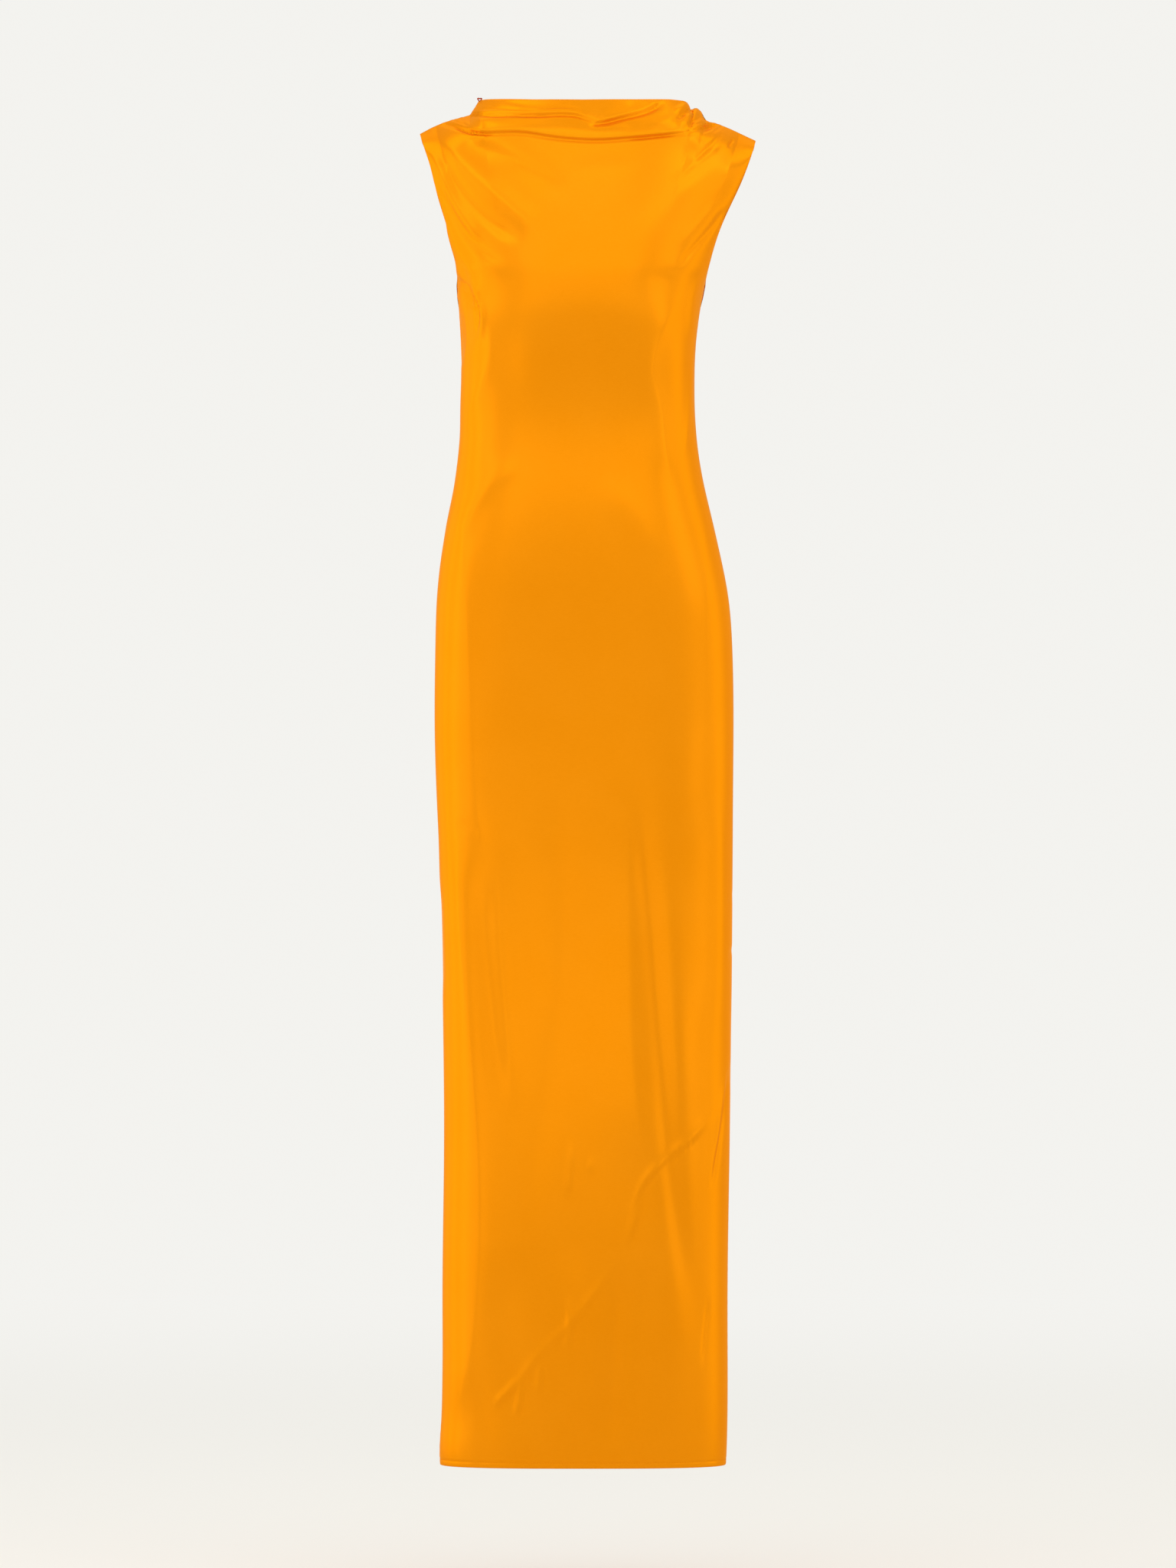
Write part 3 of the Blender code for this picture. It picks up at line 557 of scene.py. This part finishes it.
# Soft studio lights. A box that doesn't light all only shows as a reflection in the satin.
Box = namedtuple("Box", "name place target size power lights_all", defaults=(False,))
LIGHTS = [
    Box("left side", (-2.0, 0.3, -0.5), (0.0, 0.1, -0.5), (1.2, 2.2), 5.4),
    Box("left behind", (-2.0, 1.8, -0.7), (0.0, 1.8, -0.7), (2.4, 2.6), 14.0),
    Box("right side", (2.0, 0.0, -0.7), (0.0, 0.0, -0.7), (1.2, 2.6), 3.6),
    Box("right behind", (2.0, 0.5, -0.7), (0.0, 0.1, -0.7), (1.2, 2.6), 3.8),
    Box("front left", (-2.0, -2.6, -0.7), (0.0, 0.0, -0.7), (1.5, 2.6), 0.8),
    Box("top left", (-2.0, -1.8, 1.6), (0.0, 0.0, -0.2), (1.6, 1.4), 9.3),
    Box("top", (0.0, -2.2, 2.0), (0.0, 0.0, -0.2), (1.8, 1.2), 6.5),
    Box("top right", (2.0, -1.8, 1.6), (0.0, 0.0, -0.2), (1.6, 1.4), 10.8),
    Box("chest left", (-2.2, -1.4, 0.3), (0.0, 0.0, -0.15), (1.0, 0.8), 1.2),
    Box("chest right", (2.2, -1.4, 0.15), (0.0, 0.0, -0.2), (1.1, 1.2), 3.6),
    Box("bust", (0.0, -1.7, -0.12), (0.0, 0.0, -0.12), (3.2, 0.26), 0.6),
    Box("skirt middle", (-0.05, -1.0, -1.0), (-0.05, 0.0, -1.0), (0.9, 0.3), 0.5),
    Box("skirt left", (-1.5, -1.9, -1.14), (0.0, 0.0, -1.04), (0.7, 0.45), 0.8),
    Box("skirt right", (1.9, -1.5, -1.05), (0.0, 0.0, -0.98), (0.7, 0.36), 1.0),
    Box("skirt far right", (2.0, -0.8, -1.1), (0.0, 0.0, -1.02), (0.6, 0.5), 0.5),
    Box("left fill", (-3.2, -0.8, -0.4), (0.0, 0.0, -0.6), (2.0, 2.6), 11.0, True),
    Box("top fill", (0.0, -1.6, 2.6), (0.0, 0.0, -0.2), (3.0, 1.6), 2.5, True),
    Box("chest fill", (0.0, -1.7, 0.3), (0.0, 0.0, -0.3), (2.4, 1.0), 5.4, True),
    Box("left shoulder", (-1.4, 0.0, 1.8), (-0.16, -0.05, -0.02), (1.7, 1.7), 10.0),
    Box("right shoulder", (1.4, 0.0, 1.8), (0.16, -0.05, -0.02), (1.7, 1.7), 10.0),
    Box("back top", (0.0, 2.2, 2.0), (0.0, 0.0, -0.2), (1.8, 1.2), 8.0, True),
    Box("back left", (-2.0, 2.6, -0.7), (0.0, 0.0, -0.7), (1.5, 2.6), 5.0),
    Box("back right", (2.0, 2.6, -0.7), (0.0, 0.0, -0.7), (1.5, 2.6), 3.0),
    Box("back skirt", (0.05, 1.0, -1.0), (0.05, 0.0, -1.0), (0.9, 0.3), 0.5),
    Box("overhead", (0.0, 0.3, 2.2), (0.0, 0.0, 0.0), (2.4, 1.2), 3.4, True),
]

BACKDROP = (0.900, 0.893, 0.862, 1.0)
FLOOR_COLOUR = (0.90, 0.89, 0.86, 1.0)
FLOOR_HEIGHT = -1.615
FLOOR_REACH = 60.0
FLOOR_SIDES = 96
FLOOR_FADE_START = 1.2  # how far out it starts to fade into the backdrop, and where it has
FLOOR_FADE_END = 7.0
VIEW_HEIGHT = 2048 * 0.838e-3  # what the picture takes in at the gown, at 0.838 mm a pixel
SENSOR_SIDE = 36.0
CAMERA_REACH = 100.0

# --- Shape -------------------------------------------------------------------------------------


def spline(knots, values, places):
    """Natural cubic spline through values, a row for each knot, read at places."""
    gaps = np.diff(knots)
    slopes = np.diff(values, axis=0) / gaps[:, None]
    system = np.eye(len(knots))
    right = np.zeros_like(values)
    for i in range(1, len(knots) - 1):
        system[i, i - 1 : i + 2] = gaps[i - 1], 2 * (gaps[i - 1] + gaps[i]), gaps[i]
        right[i] = 6 * (slopes[i] - slopes[i - 1])
    bend = np.linalg.solve(system, right)
    cell = np.clip(np.searchsorted(knots, places) - 1, 0, len(gaps) - 1)
    gap = gaps[cell][:, None]
    after = (places - knots[cell])[:, None]
    before = gap - after
    return (
        (bend[cell] * before**3 + bend[cell + 1] * after**3) / (6 * gap)
        + (values[cell] / gap - bend[cell] * gap / 6) * before
        + (values[cell + 1] / gap - bend[cell + 1] * gap / 6) * after
    )


def run_along(points):
    """How far along a line of points each of them is."""
    steps = np.linalg.norm(np.diff(points, axis=0), axis=1)
    return np.concatenate([[0], np.cumsum(steps)])


def ease(share):
    """A smooth step from 0 to 1."""
    share = np.clip(share, 0, 1)
    return share * share * (3 - 2 * share)


def stretch_points(stretches, end):
    """Places along some stretches, each with its own step."""
    starts = [s.start for s in stretches] + [end]
    places = []
    for stretch, stop in zip(stretches, starts[1:]):
        count = max(1, round((stop - stretch.start) / stretch.step))
        places += list(np.linspace(stretch.start, stop, count, endpoint=False))
    return np.array(places + [end])


def as_row(ring, depth):
    """A level ring as a row of the panel that stands out by depth."""
    level = ring.height
    sides = ring.left, ring.right
    return Row(ring.name, level, level, level, *sides, depth, 0.0, 1.0, 1.0, ring.power, 1 / ring.power)


def row_points(row, angles, facing):
    """One row across a panel; facing is -1 for the front and +1 for the back."""
    turn = np.radians(angles)
    across = np.abs(np.sin(turn))
    on_left = turn < 0
    x = np.sin(turn) * np.where(on_left, row.left, row.right)
    bow = np.clip(1 - (across / row.bow) ** row.power, 0, 1) ** row.wrap
    y = facing * (row.edge + (row.depth - row.edge) * bow)
    places, left, right = np.array(SHOULDER_LINE).T
    shoulder = np.where(on_left, np.interp(across, places, left), np.interp(across, places, right))
    droop = (1 - row.slack) * shoulder + row.slack * across**2
    z = row.middle - droop * (row.middle - np.where(on_left, row.low_left, row.low_right))
    return np.stack([x, y, z], axis=-1)


def base_form(rows, heights, angles, facing):
    """The smooth form of a panel: a grid of points, rows from the hem up."""
    knots = np.array([row.middle for row in rows])
    table = np.stack([row_points(row, angles, facing) for row in rows])
    flat = table.reshape(len(rows), -1)
    grid = spline(knots, flat, heights).reshape(len(heights), len(angles), 3)
    grid[:, :, 1] = facing * np.maximum(facing * grid[:, :, 1], 0.0)
    return grid


def normals(grid, facing):
    """Outward unit normals of a grid of points."""
    across = np.gradient(grid, axis=1)
    along = np.gradient(grid, axis=0)
    out = np.cross(across, along) * -facing
    return out / np.linalg.norm(out, axis=2, keepdims=True)


def seam_mask(rows, grid):
    """Which points of a grid lie on a side seam or a shoulder seam."""
    mask = np.zeros(grid.shape[:2], bool)
    low = grid[:, 0, 2] <= UNDERARM + TINY
    mask[low, 0] = mask[low, -1] = True
    top = rows[-1]
    across = np.abs(grid[-1, :, 0]) / np.where(grid[-1, :, 0] < 0, top.left, top.right)
    mask[-1, across >= top.bow] = True
    return mask


def side_distances(grid):
    """How far each point of a grid is along its row from the left and from the right end."""
    steps = np.linalg.norm(np.diff(grid, axis=1), axis=2)
    from_left = np.pad(np.cumsum(steps, axis=1), ((0, 0), (1, 0)))
    return from_left, from_left[:, -1:] - from_left


def seam_fade(grid):
    """0 on the side and shoulder seams, rising to 1 a little way from them."""
    from_left, from_right = side_distances(grid)
    from_side = np.minimum(from_left, from_right)
    above = np.clip(grid[..., 2] - UNDERARM, 0, None)
    from_top = grid[-1, :, 2] - grid[..., 2]
    return ease(np.hypot(from_side, above) / SIDE_CALM) * ease(from_top / TOP_CALM)


def ruche_rise(rows, grid):
    """How far the small uneven gathers that run down from the shoulder seams rise."""
    top = rows[-1]
    width = np.where(grid[..., 0] < 0, top.left, top.right)
    drop = np.clip(grid[-1, :, 2] - grid[..., 2], 0, None)
    share = (np.abs(grid[..., 0]) / width - RUCHE_FROM) / (1 - RUCHE_FROM) + RUCHE_SLANT * drop
    share = np.clip(share, 0, 1)
    on_right = grid[..., 0] >= 0
    waves = np.zeros(share.shape)
    for gather in GATHERS:
        turn = 2 * np.pi * gather.waves * share + gather.shift * on_right
        waves += gather.share * np.sin(turn) * np.exp(-((drop / gather.reach) ** 2))
    strength = ease(share / RUCHE_GROW) * ease((RUCHE_TO - share) / RUCHE_FADE)
    return RUCHE_RISE * strength * waves


def seam_rise(grid):
    """The groove of the side seams with its small uneven puckers, and the sewn hem's line."""
    from_left, from_right = side_distances(grid)
    height = grid[..., 2]
    rise = np.zeros(height.shape)
    drift, often = PUCKER_DRIFT
    for from_side, turn in zip((from_left, from_right), PUCKER_STARTS):
        wave = 2 * np.pi * height / PUCKER_LENGTH + turn + drift * np.sin(often * height + turn)
        uneven = 0.5 + 0.5 * np.sin(PUCKER_LULLS * height + 2 * turn)
        rise += PUCKER_RISE * uneven * np.sin(wave) * np.exp(-((from_side / PUCKER_REACH) ** 2))
        rise -= SEAM_SINK * np.exp(-((from_side / SEAM_SINK_WIDE) ** 2))
    rise *= ease((UNDERARM - height) / PUCKER_FADE)
    above_hem = height - height[:1]
    sewn = np.exp(-(((above_hem - STITCH_LINE) / STITCH_SINK_WIDE) ** 2))
    drift, often = HEM_WAVE_DRIFT
    turn = 2 * np.pi * from_left / HEM_WAVE_LENGTH + drift * np.sin(often * from_left)
    return rise - STITCH_SINK * sewn * (1 + HEM_WAVE * np.sin(turn))


def seen_places(grid, facing):
    """Where each point shows on the plane of the side seams, from the sight's distance."""
    scale = SIGHT_DISTANCE / (SIGHT_DISTANCE - facing * grid[..., 1])
    x = SIGHT_PLACE[0] + (grid[..., 0] - SIGHT_PLACE[0]) * scale
    z = SIGHT_PLACE[1] + (grid[..., 2] - SIGHT_PLACE[1]) * scale
    return np.stack([x, z], axis=-1)


def to_metres(fold):
    """A fold of the tables, which are in millimetres, in metres."""
    lengths = {key: getattr(fold, key) / MM_PER_METRE for key in FOLD_LENGTHS}
    return fold._replace(path=np.array(fold.path) / MM_PER_METRE, **lengths)


def fold_path(fold):
    """Points along the smooth curve through a fold's places."""
    knots = run_along(fold.path)
    return spline(knots, fold.path, np.linspace(0, knots[-1], PATH_STEPS))


def fold_shape(fold, seen):
    """The share of a fold's height that each seen place has."""
    share = np.zeros(seen.shape[:2])
    path = fold_path(fold)
    reach = FOLD_REACH * max(fold.wide_left, fold.wide_right)
    low, high = path.min(0) - reach, path.max(0) + reach
    near = ((seen > low) & (seen < high)).all(axis=-1)
    places = seen[near]
    starts, steps = path[:-1], np.diff(path, axis=0)
    offset = places[:, None] - starts
    along = np.clip((offset * steps).sum(2) / (steps**2).sum(1), 0, 1)
    gap = offset - along[..., None] * steps
    nearest = (gap**2).sum(2).argmin(1)
    rows = np.arange(len(places))
    gap = gap[rows, nearest]
    step = steps[nearest]
    side = step[:, 0] * gap[:, 1] - step[:, 1] * gap[:, 0]
    width = np.where(side > 0, fold.wide_left, fold.wide_right)
    place = (nearest + along[rows, nearest]) / len(steps)
    ends = ease(np.minimum(place, 1 - place) / fold.fade)
    share[near] = np.exp(-((np.linalg.norm(gap, axis=1) / width) ** fold.power)) * ends
    return share


def shaped(rows, heights, angles, facing, folds):
    """A panel's outer points, and which of them lie on seams."""
    base = base_form(rows, heights, angles, facing)
    out = normals(base, facing)
    seen = seen_places(base, facing)
    calm = seam_fade(base)
    rise = np.zeros(base.shape[:2])
    lean = np.zeros(base.shape[:2])
    for fold in map(to_metres, folds):
        share = fold_shape(fold, seen) * calm
        rise += fold.rise * share
        lean += fold.lean * share
    ruched = RUCHE_AT_SEAM + (1 - RUCHE_AT_SEAM) * calm
    rise += ruche_rise(rows, base) * ruched + seam_rise(base)
    outer = base + out * rise[..., None]
    outer[..., 2] -= lean
    seams = seam_mask(rows, base)
    low = base[..., 2] < UNDERARM
    outer[seams & low, 1] = facing * SEAM_GAP / 2
    outer[seams & ~low, 1] = facing * np.maximum(facing * outer[seams & ~low, 1], SEAM_GAP / 2)
    return outer, seams


# --- Building meshes ---------------------------------------------------------------------------


def new_piece(name, points, faces, smooth=True):
    """An object from points and faces."""
    data = bpy.data.meshes.new(name)
    data.from_pydata([tuple(p) for p in points], [], faces)
    data.update()
    if smooth:
        data.shade_smooth()
    piece = bpy.data.objects.new(name, data)
    bpy.context.scene.collection.objects.link(piece)
    return piece


def coarse(count, fine_from):
    """Indices of the points that the inside takes."""
    picked = {*range(0, count, INNER_SKIP), count - 1, *range(fine_from, count)}
    return sorted(picked)


def edge_turn(outer, seams):
    """1 where the cloth's edge is turned in along an open edge, 0 elsewhere."""
    above_hem = outer[..., 2] - outer[:1, :, 2]
    below_neck = np.where(seams[-1], FAR, outer[-1:, :, 2] - outer[..., 2])
    from_left, from_right = side_distances(outer)
    from_side = np.minimum(from_left, from_right)
    from_side = np.where(seams[:, :1], FAR, from_side)
    turned = ease((HEM_TURN - above_hem) / TURN_STEP)
    turned = np.maximum(turned, ease((NECK_TURN - below_neck) / TURN_STEP))
    return np.maximum(turned, ease((ARMHOLE_TURN - from_side) / TURN_STEP))


def shell(name, outer, seams, facing):
    """A closed thin shell: a fine outside, a coarser inside and a rim between them."""
    count_rows, count_columns = outer.shape[:2]
    lean = normals(outer, facing)
    lean[seams, 1] = 0.0
    lean /= np.linalg.norm(lean, axis=2, keepdims=True)
    inner = outer - lean * (CLOTH * (1 + TURN_LAYERS * edge_turn(outer, seams)))[..., None]
    rim = np.zeros(outer.shape[:2], bool)
    rim[0] = rim[-1] = rim[:, 0] = rim[:, -1] = True
    outer = outer - (lean * EDGE_ROUND) * (rim & ~seams)[..., None]
    fine_row = int(np.searchsorted(outer[:, count_columns // 2, 2], FINE_ABOVE))
    rows = coarse(count_rows, fine_row)
    columns = coarse(count_columns, count_columns)
    points = list(outer.reshape(-1, 3))
    place = np.arange(len(points)).reshape(count_rows, count_columns)
    inside = {}
    for i in rows:
        for j in columns:
            inside[i, j] = len(points)
            points.append(inner[i, j])
    faces = []
    for i in range(count_rows - 1):
        for j in range(count_columns - 1):
            faces.append((place[i, j], place[i, j + 1], place[i + 1, j + 1], place[i + 1, j]))
    for i, above in zip(rows, rows[1:]):
        for j, after in zip(columns, columns[1:]):
            faces.append((inside[i, j], inside[above, j], inside[above, after], inside[i, after]))
    for j, after in zip(columns, columns[1:]):
        run = [place[0, k] for k in range(after, j - 1, -1)]
        faces.append((*run, inside[0, j], inside[0, after]))
        top = count_rows - 1
        run = [place[top, k] for k in range(j, after + 1)]
        faces.append((*run, inside[top, after], inside[top, j]))
    for i, above in zip(rows, rows[1:]):
        run = [place[k, 0] for k in range(i, above + 1)]
        faces.append((*run, inside[above, 0], inside[i, 0]))
        last = count_columns - 1
        run = [place[k, last] for k in range(above, i - 1, -1)]
        faces.append((*run, inside[i, last], inside[above, last]))
    faces = [tuple(int(v) for v in face) for face in faces]
    if facing > 0:
        faces = [face[::-1] for face in faces]
    return new_piece(name, points, faces)


def knot(name, outer, place):
    """A small knot of looped thread on the cloth, at a place in the front view."""
    gap = np.hypot(outer[..., 0] - place[0], outer[..., 2] - place[1])
    spot = np.unravel_index(int(np.argmin(gap)), gap.shape)
    middle, out = outer[spot], normals(outer, -1)[spot]
    points, faces = [], []
    for turn in range(KNOT_TURNS):
        along = 2 * math.pi * turn / KNOT_TURNS
        lobe = KNOT_SIZE * (1 + KNOT_SWING * math.sin(KNOT_LOOPS * along))
        ring = Vector((math.cos(along) * lobe, 0.0, math.sin(along) * lobe))
        lift = KNOT_THREAD * math.sin(2 * along) - KNOT_THREAD
        for step in range(THREAD_SIDES):
            around = 2 * math.pi * step / THREAD_SIDES
            across = ring.normalized() * math.cos(around) * KNOT_THREAD
            forward = Vector((0, lift + math.sin(around) * KNOT_THREAD, 0))
            points.append(middle + out * KNOT_THREAD + np.array(ring + across + forward))
    for turn in range(KNOT_TURNS):
        here = turn * THREAD_SIDES
        after = (turn + 1) % KNOT_TURNS * THREAD_SIDES
        for step in range(THREAD_SIDES):
            beside = (step + 1) % THREAD_SIDES
            faces.append((here + step, here + beside, after + beside, after + step))
    return new_piece(name, points, faces)


def stitches(name, outer, facing):
    """A row of short stitches along the hem of a panel, as one piece."""
    row = int(np.argmin(np.abs(outer[:, outer.shape[1] // 2, 2] - (HEM + STITCH_LINE))))
    line, out = outer[row], normals(outer, facing)[row]
    run = run_along(line)
    count = int(run[-1] / STITCH_PITCH)
    points, faces = [], []
    for i in range(count):
        middle = (i + 0.5) * run[-1] / count
        ends = middle - STITCH_LENGTH / 2, middle, middle + STITCH_LENGTH / 2
        spine = [np.array([np.interp(e, run, axis) for axis in line.T]) for e in ends]
        lift = np.array([np.interp(middle, run, axis) for axis in out.T])
        side = np.cross(spine[2] - spine[0], lift)
        side /= np.linalg.norm(side)
        first = len(points)
        points += [spine[0] - lift * STITCH_PROUD, spine[2] - lift * STITCH_PROUD]
        for turn in range(THREAD_SIDES):
            angle = 2 * math.pi * turn / THREAD_SIDES
            across = side * math.cos(angle) * STITCH_WIDTH / 2
            points.append(spine[1] + across + lift * math.sin(angle) * STITCH_PROUD)
        for turn in range(THREAD_SIDES):
            this = first + 2 + turn
            after = first + 2 + (turn + 1) % THREAD_SIDES
            faces += [(first, after, this), (first + 1, this, after)]
    return new_piece(name, points, faces)


# --- Materials ---------------------------------------------------------------------------------


def new_material(name):
    """A material, its nodes and links, and its shader."""
    material = bpy.data.materials.new(name)
    material.use_nodes = True
    tree = material.node_tree
    return material, tree.nodes, tree.links, tree.nodes["Principled BSDF"]


def streaks(nodes, links, place, turn, stretch, scale):
    """Fine streaks that run along one thread direction of the bias weave."""
    mapping = nodes.new("ShaderNodeMapping")
    mapping.inputs["Rotation"].default_value = (0.0, turn, 0.0)
    mapping.inputs["Scale"].default_value = stretch
    noise = nodes.new("ShaderNodeTexNoise")
    noise.inputs["Scale"].default_value = scale
    noise.inputs["Detail"].default_value = WEAVE_DETAIL
    links.new(place.outputs["Object"], mapping.inputs["Vector"])
    links.new(mapping.outputs["Vector"], noise.inputs["Vector"])
    return noise


def satin(name):
    """Orange satin: a smooth coloured sheen over a fine bias weave."""
    material, nodes, links, shader = new_material(name)
    shader.inputs["Metallic"].default_value = METAL_SHARE
    shader.inputs["Specular IOR Level"].default_value = 0.0
    shader.inputs["Specular Tint"].default_value = GLANCE_TINT
    shader.inputs["Sheen Weight"].default_value = SHEEN_WEIGHT
    shader.inputs["Sheen Roughness"].default_value = SHEEN_ROUGHNESS
    shader.inputs["Sheen Tint"].default_value = SHEEN_TINT

    place = nodes.new("ShaderNodeTexCoord")
    warp = streaks(nodes, links, place, WARP_TURN, WARP_STRETCH, WARP_SCALE)
    weft = streaks(nodes, links, place, -WARP_TURN, WEFT_STRETCH, WEFT_SCALE)
    weave = nodes.new("ShaderNodeMix")
    weave.inputs["Factor"].default_value = WEFT_SHARE
    links.new(warp.outputs["Fac"], weave.inputs["A"])
    links.new(weft.outputs["Fac"], weave.inputs["B"])

    patches = nodes.new("ShaderNodeTexNoise")
    patches.inputs["Scale"].default_value = PATCH_SCALE
    patches.inputs["Detail"].default_value = PATCH_DETAIL
    links.new(place.outputs["Object"], patches.inputs["Vector"])

    tint = nodes.new("ShaderNodeMix")
    tint.inputs["Factor"].default_value = PATCH_SHARE
    links.new(weave.outputs["Result"], tint.inputs["A"])
    links.new(patches.outputs["Fac"], tint.inputs["B"])
    colours = nodes.new("ShaderNodeValToRGB")
    colours.color_ramp.elements[0].position = SHADE_RANGE[0]
    colours.color_ramp.elements[0].color = DEEP_ORANGE
    colours.color_ramp.elements[1].position = SHADE_RANGE[1]
    colours.color_ramp.elements[1].color = LIGHT_ORANGE
    links.new(tint.outputs["Result"], colours.inputs["Fac"])
    links.new(colours.outputs["Color"], shader.inputs["Base Color"])

    roughness = nodes.new("ShaderNodeMapRange")
    roughness.inputs["To Min"].default_value = ROUGHNESS_RANGE[0]
    roughness.inputs["To Max"].default_value = ROUGHNESS_RANGE[1]
    links.new(tint.outputs["Result"], roughness.inputs["Value"])
    links.new(roughness.outputs["Result"], shader.inputs["Roughness"])

    bump = nodes.new("ShaderNodeBump")
    bump.inputs["Strength"].default_value = WEAVE_STRENGTH
    bump.inputs["Distance"].default_value = WEAVE_DEPTH
    links.new(weave.outputs["Result"], bump.inputs["Height"])
    links.new(bump.outputs["Normal"], shader.inputs["Normal"])
    return material


def thread(name, dark, light):
    """Dull sewing thread between two shades of one colour."""
    material, nodes, links, shader = new_material(name)
    shader.inputs["Roughness"].default_value = THREAD_ROUGHNESS
    shader.inputs["Specular IOR Level"].default_value = 0.0
    place = nodes.new("ShaderNodeTexCoord")
    fibres = nodes.new("ShaderNodeTexNoise")
    fibres.inputs["Scale"].default_value = FIBRE_SCALE
    colours = nodes.new("ShaderNodeValToRGB")
    colours.color_ramp.elements[0].color = dark
    colours.color_ramp.elements[1].color = light
    bump = nodes.new("ShaderNodeBump")
    bump.inputs["Distance"].default_value = FIBRE_DEPTH
    links.new(place.outputs["Object"], fibres.inputs["Vector"])
    links.new(fibres.outputs["Fac"], colours.inputs["Fac"])
    links.new(colours.outputs["Color"], shader.inputs["Base Color"])
    links.new(fibres.outputs["Fac"], bump.inputs["Height"])
    links.new(bump.outputs["Normal"], shader.inputs["Normal"])
    return material


# --- Stage, light and camera -------------------------------------------------------------------


def floor_material():
    """Pale floor that fades into the backdrop's colour far from the gown."""
    material, nodes, links, shader = new_material("floor")
    shader.inputs["Base Color"].default_value = FLOOR_COLOUR
    shader.inputs["Roughness"].default_value = 1.0
    shader.inputs["Specular IOR Level"].default_value = 0.0
    place = nodes.new("ShaderNodeTexCoord")
    length = nodes.new("ShaderNodeVectorMath")
    length.operation = "LENGTH"
    share = nodes.new("ShaderNodeMapRange")
    share.inputs["From Min"].default_value = FLOOR_FADE_START
    share.inputs["From Max"].default_value = FLOOR_FADE_END
    share.interpolation_type = "SMOOTHSTEP"
    glow = nodes.new("ShaderNodeEmission")
    glow.inputs["Color"].default_value = BACKDROP
    mix = nodes.new("ShaderNodeMixShader")
    links.new(place.outputs["Object"], length.inputs[0])
    links.new(length.outputs["Value"], share.inputs["Value"])
    links.new(share.outputs["Result"], mix.inputs["Fac"])
    links.new(shader.outputs["BSDF"], mix.inputs[1])
    links.new(glow.outputs["Emission"], mix.inputs[2])
    links.new(mix.outputs["Shader"], nodes["Material Output"].inputs["Surface"])
    return material


def floor():
    """A wide round floor under the gown."""
    turns = [2 * math.pi * i / FLOOR_SIDES for i in range(FLOOR_SIDES)]
    points = [(FLOOR_REACH * math.cos(t), FLOOR_REACH * math.sin(t), FLOOR_HEIGHT) for t in turns]
    piece = new_piece("floor", points, [tuple(range(FLOOR_SIDES))], smooth=False)
    piece.data.materials.append(floor_material())


def softbox(box):
    """A rectangular soft light; a gloss box shows only as a reflection in the satin."""
    light = bpy.data.lights.new(box.name, "AREA")
    light.shape = "RECTANGLE"
    light.size, light.size_y = box.size
    light.energy = box.power
    lamp = bpy.data.objects.new(box.name, light)
    bpy.context.scene.collection.objects.link(lamp)
    lamp.location = box.place
    toward = Vector(box.target) - Vector(box.place)
    lamp.rotation_euler = toward.to_track_quat("-Z", "Y").to_euler()
    lamp.visible_diffuse = box.lights_all
    lamp.visible_camera = False


def sewn_piece(piece, material):
    """A piece that is sewn on the cloth, with its material, body and slot."""
    piece.data.materials.append(material)
    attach(piece, "root")
    return piece


def panel(name, yoke, facing, folds):
    """One cloth panel of the gown with what is sewn on it."""
    rows = [as_row(ring, getattr(ring, name)) for ring in RINGS] + yoke
    heights = stretch_points(HEIGHT_STRETCHES, yoke[-1].middle)
    angles = stretch_points(ANGLE_STRETCHES, ANGLE_END)
    outer, seams = shaped(rows, heights, angles, facing, folds)
    piece = shell(name + "_cloth", outer, seams, facing)
    piece.data.materials.append(satin(name + "_satin"))
    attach(piece, "root")
    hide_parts(name + "_panel")
    sewing = stitches(name + "_hem_stitches", outer, facing)
    sewn_on = [sewn_piece(sewing, thread(name + "_thread", *THREAD_ORANGE))]
    if name == "front":
        tied = knot("shoulder_knot", outer, KNOT_PLACE)
        sewn_on.append(sewn_piece(tied, thread("knot_thread", *THREAD_RED)))


def backdrop():
    """The even pale light all around."""
    scene = bpy.context.scene
    scene.view_settings.view_transform = "Standard"
    world = bpy.data.worlds.new("studio")
    world.use_nodes = True
    background = world.node_tree.nodes["Background"]
    background.inputs["Color"].default_value = BACKDROP
    background.inputs["Strength"].default_value = 1.0
    scene.world = world


def front_camera():
    """A camera far in front of the gown, level with its middle."""
    camera = bpy.data.cameras.new("camera")
    camera.sensor_width = SENSOR_SIDE
    camera.lens = SENSOR_SIDE * SIGHT_DISTANCE / VIEW_HEIGHT
    camera.clip_end = CAMERA_REACH
    eye = bpy.data.objects.new("camera", camera)
    bpy.context.scene.collection.objects.link(eye)
    eye.location = (SIGHT_PLACE[0], -SIGHT_DISTANCE, SIGHT_PLACE[1])
    eye.rotation_euler = (math.pi / 2, 0, 0)
    bpy.context.scene.camera = eye


def main():
    """Dresses both panels and sets the floor, the backdrop, the lights and the camera."""
    panel("front", FRONT_YOKE, -1, FRONT_FOLDS)
    panel("back", BACK_YOKE, 1, BACK_FOLDS)
    floor()
    backdrop()
    for light in LIGHTS:
        softbox(light)
    front_camera()


main()
